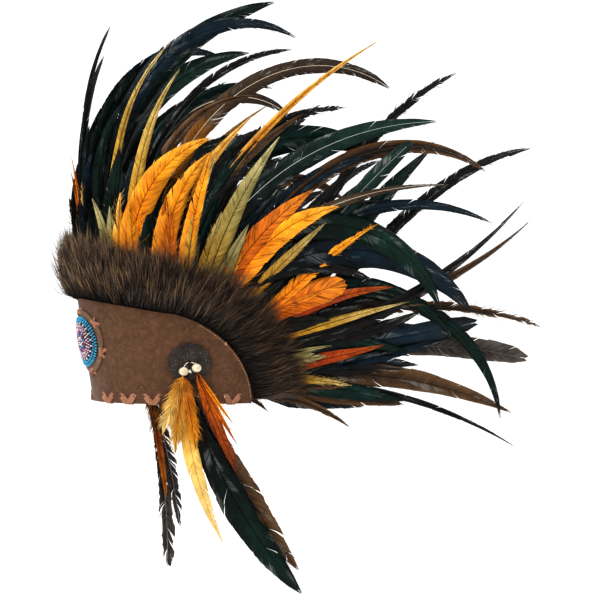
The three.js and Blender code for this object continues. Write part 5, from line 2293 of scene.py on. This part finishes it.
@dataclass
class SideDrop:
    """A leather disc with two wooden beads on strings and the feathers that hang from them."""

    side: int
    girth: float
    rows: Sequence[Drop]
    maker: FeatherMaker
    rng: np.random.Generator
    diameter: float = 36
    thick: float = 2.5
    hole: float = 5
    height: float = 37
    bead_diameter: float = 8.5
    bead_bore: float = 2.6
    bead_spread: float = 5.2
    bead_step: float = 3
    bead_hang: float = 7
    clearance: float = 0.3
    length: float = 230
    string: float = 0.4
    fluff_angle: float = 34
    fluff_length: tuple[float, float] = (7, 16)
    short_feather: float = 0.4
    words: tuple[str, str] = ("front", "rear")

    def disc(self) -> Any:
        """Models the leather disc with its punched hole.

        Returns:
            The disc.
        """
        obj = round_leather(f"leather_disc_{SIDE_WORDS[self.side]}", self.diameter, self.thick, self.hole, 6)
        lay_on_band(obj, self.side * self.girth, self.height, HEAD.suede + self.clearance)
        if self.side == RIGHT:
            edit(obj, lambda: bpy.ops.mesh.normals_make_consistent(inside=False))
        obj.data.materials.append(dressed(DISC_LEATHER))
        return finish_piece(obj, [f"disc_{SIDE_WORDS[self.side]}"])

    def bead_centre(self, index: int) -> Array:
        """Centre of the front or the rear bead.

        Args:
            index: 0 for the front bead, 1 for the rear one.

        Returns:
            The centre.
        """
        girth = self.side * (self.girth + (self.bead_spread if index else -self.bead_spread))
        height = self.height - self.bead_hang + (self.bead_step if index else 0)
        offset = HEAD.suede + 2 * self.clearance + self.thick + self.bead_diameter / 2
        return HEAD.band(girth, height, offset)

    def bead(self, index: int) -> Any:
        """Models a wooden bead: a thick ring, slightly flattened, with its bore upright.

        Args:
            index: 0 for the front bead, 1 for the rear one.

        Returns:
            The bead.
        """
        deselect_all()
        tube = (self.bead_diameter - self.bead_bore) / 4
        ring = (self.bead_diameter + self.bead_bore) / 4
        bpy.ops.mesh.primitive_torus_add(
            major_radius=ring * MM, minor_radius=tube * MM, major_segments=40, minor_segments=20,
        )
        obj = bpy.context.object
        flat = points_of(obj)
        radius = self.bead_diameter / 2
        reach = np.hypot(flat[:, 0], flat[:, 1])
        turn = np.arctan2(flat[:, 2], reach - ring)
        climb = np.clip(np.abs(turn) / math.pi / 0.72, 0, 1)
        lip = math.acos(self.bead_bore / self.bead_diameter)
        descent = 1 - np.clip((np.abs(turn) / math.pi - 0.72) / 0.28, 0, 1)
        flat[:, :2] *= column(radius * np.cos(climb * lip) / reach)
        flat[:, 2] = np.sign(turn) * 0.9 * radius * np.sin(climb * lip) * descent
        place_points(obj, flat + self.bead_centre(index))
        obj.data.materials.append(dressed(BEAD_WOOD))
        word = f"{SIDE_WORDS[self.side]}_{self.words[index]}"
        obj.name = f"wood_bead_{word}"
        return finish_piece(obj, [f"bead_{word}"], 60)

    def strings(self) -> Any:
        """Threads white cord from the disc's hole through each bead, with a knot between them.

        Returns:
            The strings as one piece.
        """
        pile = Pile()
        girth = self.side * self.girth
        top = HEAD.suede + self.thick
        for index in (0, 1):
            centre = self.bead_centre(index)
            half = self.bead_diameter / 2
            nudge = (0.9 if index else -0.9) * self.side
            route = np.array([
                HEAD.band(girth + nudge, self.height + 0.2, top - 2.2),
                HEAD.band(girth + nudge * 1.5, self.height + 1.2, top + 1.0),
                HEAD.band(girth + nudge * 2.6, self.height + 0.4, top + 2.6),
                centre + UP * half * 0.95,
                centre,
                centre - UP * half * 0.95,
            ])
            smooth = softened(between(np.linspace(0, 1, 26), np.linspace(0, 1, len(route)), route), 2)
            pile.add(*strands(smooth[None], np.array([[self.string] * 25]), 8))
        knot = (self.bead_centre(0) + self.bead_centre(1)) / 2 - UP * 1.6
        tuft(pile, self.rng, knot, 26, (0.0, 1.0, 1.9), (0.6, 0.5), 8)
        obj = pile.build(f"bead_strings_{SIDE_WORDS[self.side]}", [dressed(WHITE_THREAD)])
        return finish_piece(obj, [], 90)

    def route(self, row: Drop) -> Route:
        """Hangs one feather from its bead.

        Args:
            row: The feather's row.

        Returns:
            Its route.
        """
        centre = self.bead_centre(row.bead)
        outward = HEAD.outward(self.side * self.girth, 0)
        along = np.array([-outward[1], outward[0], 0.0]) * self.side
        length = self.length * row.long
        steps = self.maker.steps
        point = centre - UP * (self.bead_diameter / 2 - 1)
        points = []
        across = []
        for step in range(steps + 1):
            share = step / steps
            tilt = math.radians(row.start + (row.end - row.start) * share)
            heading = along * math.sin(tilt) - UP * math.cos(tilt)
            points.append(point + outward * (row.out * share))
            across.append(np.cross(heading, outward))
            point = point + heading * (length / steps)
        outwards = np.broadcast_to(outward, (steps + 1, 3))
        return Route(np.array(points), unit(np.array(across)), outwards, length)

    def feathers(self, index: int) -> Any:
        """Builds the feathers of one bead.

        Args:
            index: 0 for the front bead, 1 for the rear one.

        Returns:
            The piece.
        """
        pile = Pile()
        used: list[Plumage] = []
        for row in (row for row in self.rows if row.bead == index):
            if row.plumage not in used:
                used.append(row.plumage)
            finish = used.index(row.plumage)
            shape = Growth(
                0, row.start, row.end, 1, 0, row.long, row.wide, 0, row.plumage, row.form, row.fray, row.split
            )
            route = self.route(row)
            self.maker.add(pile, shape, route, finish)
            if row.fluff:
                feather = Feather(shape, route, 0, self.maker.rng.random(), finish)
                span = (0.03, 0.75 if row.long < self.short_feather else 0.3)
                self.maker.barbs(pile, feather, row.fluff, span, self.fluff_length, self.fluff_angle)
        word = f"{SIDE_WORDS[self.side]}_{self.words[index]}"
        obj = pile.build(f"drop_{word}", [dressed(plumage.value) for plumage in used])
        return finish_piece(obj, [f"drop_feathers_{word}"], 60)

    def build(self) -> None:
        """Builds the disc, the beads, their strings and the feathers."""
        self.disc()
        self.strings()
        for index in (0, 1):
            self.bead(index)
            self.feathers(index)


def facing(right: Array, top: Array, back: Array, place: Array) -> Matrix:
    """Gives the placing of a camera or a light.

    Args:
        right: Direction to its right.
        top: Direction up.
        back: Direction behind it.
        place: Its place in metres.

    Returns:
        The matrix.
    """
    rows = np.column_stack([right, top, back, place])
    return Matrix(np.vstack([rows, [0, 0, 0, 1]]).tolist())


@dataclass
class Studio:
    """A plain pale floor, soft lights and the camera at the photograph's angle."""

    azimuth: float = 67
    elevation: float = 1
    distance: float = 2000
    target_right: float = 97
    target_up: float = 92
    focal_pixels: float = 2142
    frame_pixels: float = 600
    sensor: float = 36
    floor_drop: float = 8
    floor_size: float = 30000
    light_distance: float = 1.7
    light_target: tuple[float, float, float] = (0.04, 0.08, 0.1)

    def right(self) -> Array:
        """Direction to the picture's right."""
        turn = math.radians(self.azimuth)
        return np.array([math.cos(turn), math.sin(turn), 0.0])

    def camera(self) -> None:
        """Sets the camera."""
        data = bpy.data.cameras.new("camera")
        data.lens = self.focal_pixels / self.frame_pixels * self.sensor
        data.sensor_width = self.sensor
        obj = bpy.data.objects.new("camera", data)
        bpy.context.scene.collection.objects.link(obj)
        target = self.right() * self.target_right + UP * self.target_up
        back = bearing(self.azimuth, self.elevation)
        top = np.cross(back, self.right())
        obj.matrix_world = facing(self.right(), top, back, (target + back * self.distance) * MM)
        data.clip_end = 100
        bpy.context.scene.camera = obj

    def light(self, name: str, azimuth: float, elevation: float, size: float, power: float) -> None:
        """Adds a soft square light that faces the object.

        Args:
            name: Its name.
            azimuth: Degrees round the object, as the camera's.
            elevation: Degrees above the horizon.
            size: Length of its side in metres.
            power: Its power in watts.
        """
        data = bpy.data.lights.new(name, "AREA")
        data.size = size
        data.energy = power
        obj = bpy.data.objects.new(name, data)
        bpy.context.scene.collection.objects.link(obj)
        back = bearing(azimuth, elevation)
        right = unit(np.cross(UP, back))
        top = np.cross(back, right)
        place = back * self.light_distance + np.array(self.light_target)
        obj.matrix_world = facing(right, top, back, place)

    def floor(self) -> None:
        """Lays the floor below the longest drop."""
        deselect_all()
        level = CAD_BOX[0][2] - self.floor_drop * MM
        bpy.ops.mesh.primitive_plane_add(size=self.floor_size * MM, location=(0, 0, level))
        obj = bpy.context.object
        obj.name = "floor"
        paint = Recipe("pale studio floor")
        obj.data.materials.append(paint.surface({"Base Color": "fdfdfc", "Roughness": 0.8}))

    def build(self) -> None:
        """Builds the studio."""
        self.camera()
        self.floor()
        self.light("key", self.azimuth - 38, 46, 0.8, 17)
        self.light("fill", self.azimuth + 48, 18, 1.6, 2)
        self.light("rear", self.azimuth + 165, 48, 1.4, 5)
        world = bpy.data.worlds.new("studio")
        world.use_nodes = True
        world.node_tree.nodes["Background"].inputs[0].default_value = linear("ffffff")
        world.node_tree.nodes["Background"].inputs[1].default_value = 1.0
        bpy.context.scene.world = world
        bpy.context.scene.view_settings.view_transform = "Standard"
        bpy.context.scene.view_settings.look = "Medium High Contrast"


def main() -> None:
    """Builds the studio and every piece of the headdress in order."""
    logging.basicConfig(level=logging.INFO, format="%(name)s: %(message)s")
    Studio().build()
    rng = np.random.default_rng(SEED)
    SuedeBand(rng).build()
    Rosette(rng).build()
    front = FRONT_FUR / HEAD.half_edge
    gap = FUR_GAP / HEAD.half_edge
    FurTrim("fur_trim_front", -front, front, rng).build()
    FurTrim("fur_trim_left", front + gap, 1, rng).build()
    FurTrim("fur_trim_right", -front - gap, -1, rng).build()
    maker = FeatherMaker(rng)
    for side, girth, rows in ((LEFT, LEFT_DISC, LEFT_DROPS), (RIGHT, RIGHT_DISC, RIGHT_DROPS)):
        Plume(side, maker).build()
        SideDrop(side, girth, rows, maker, rng).build()


if __name__ == "__main__":
    main()
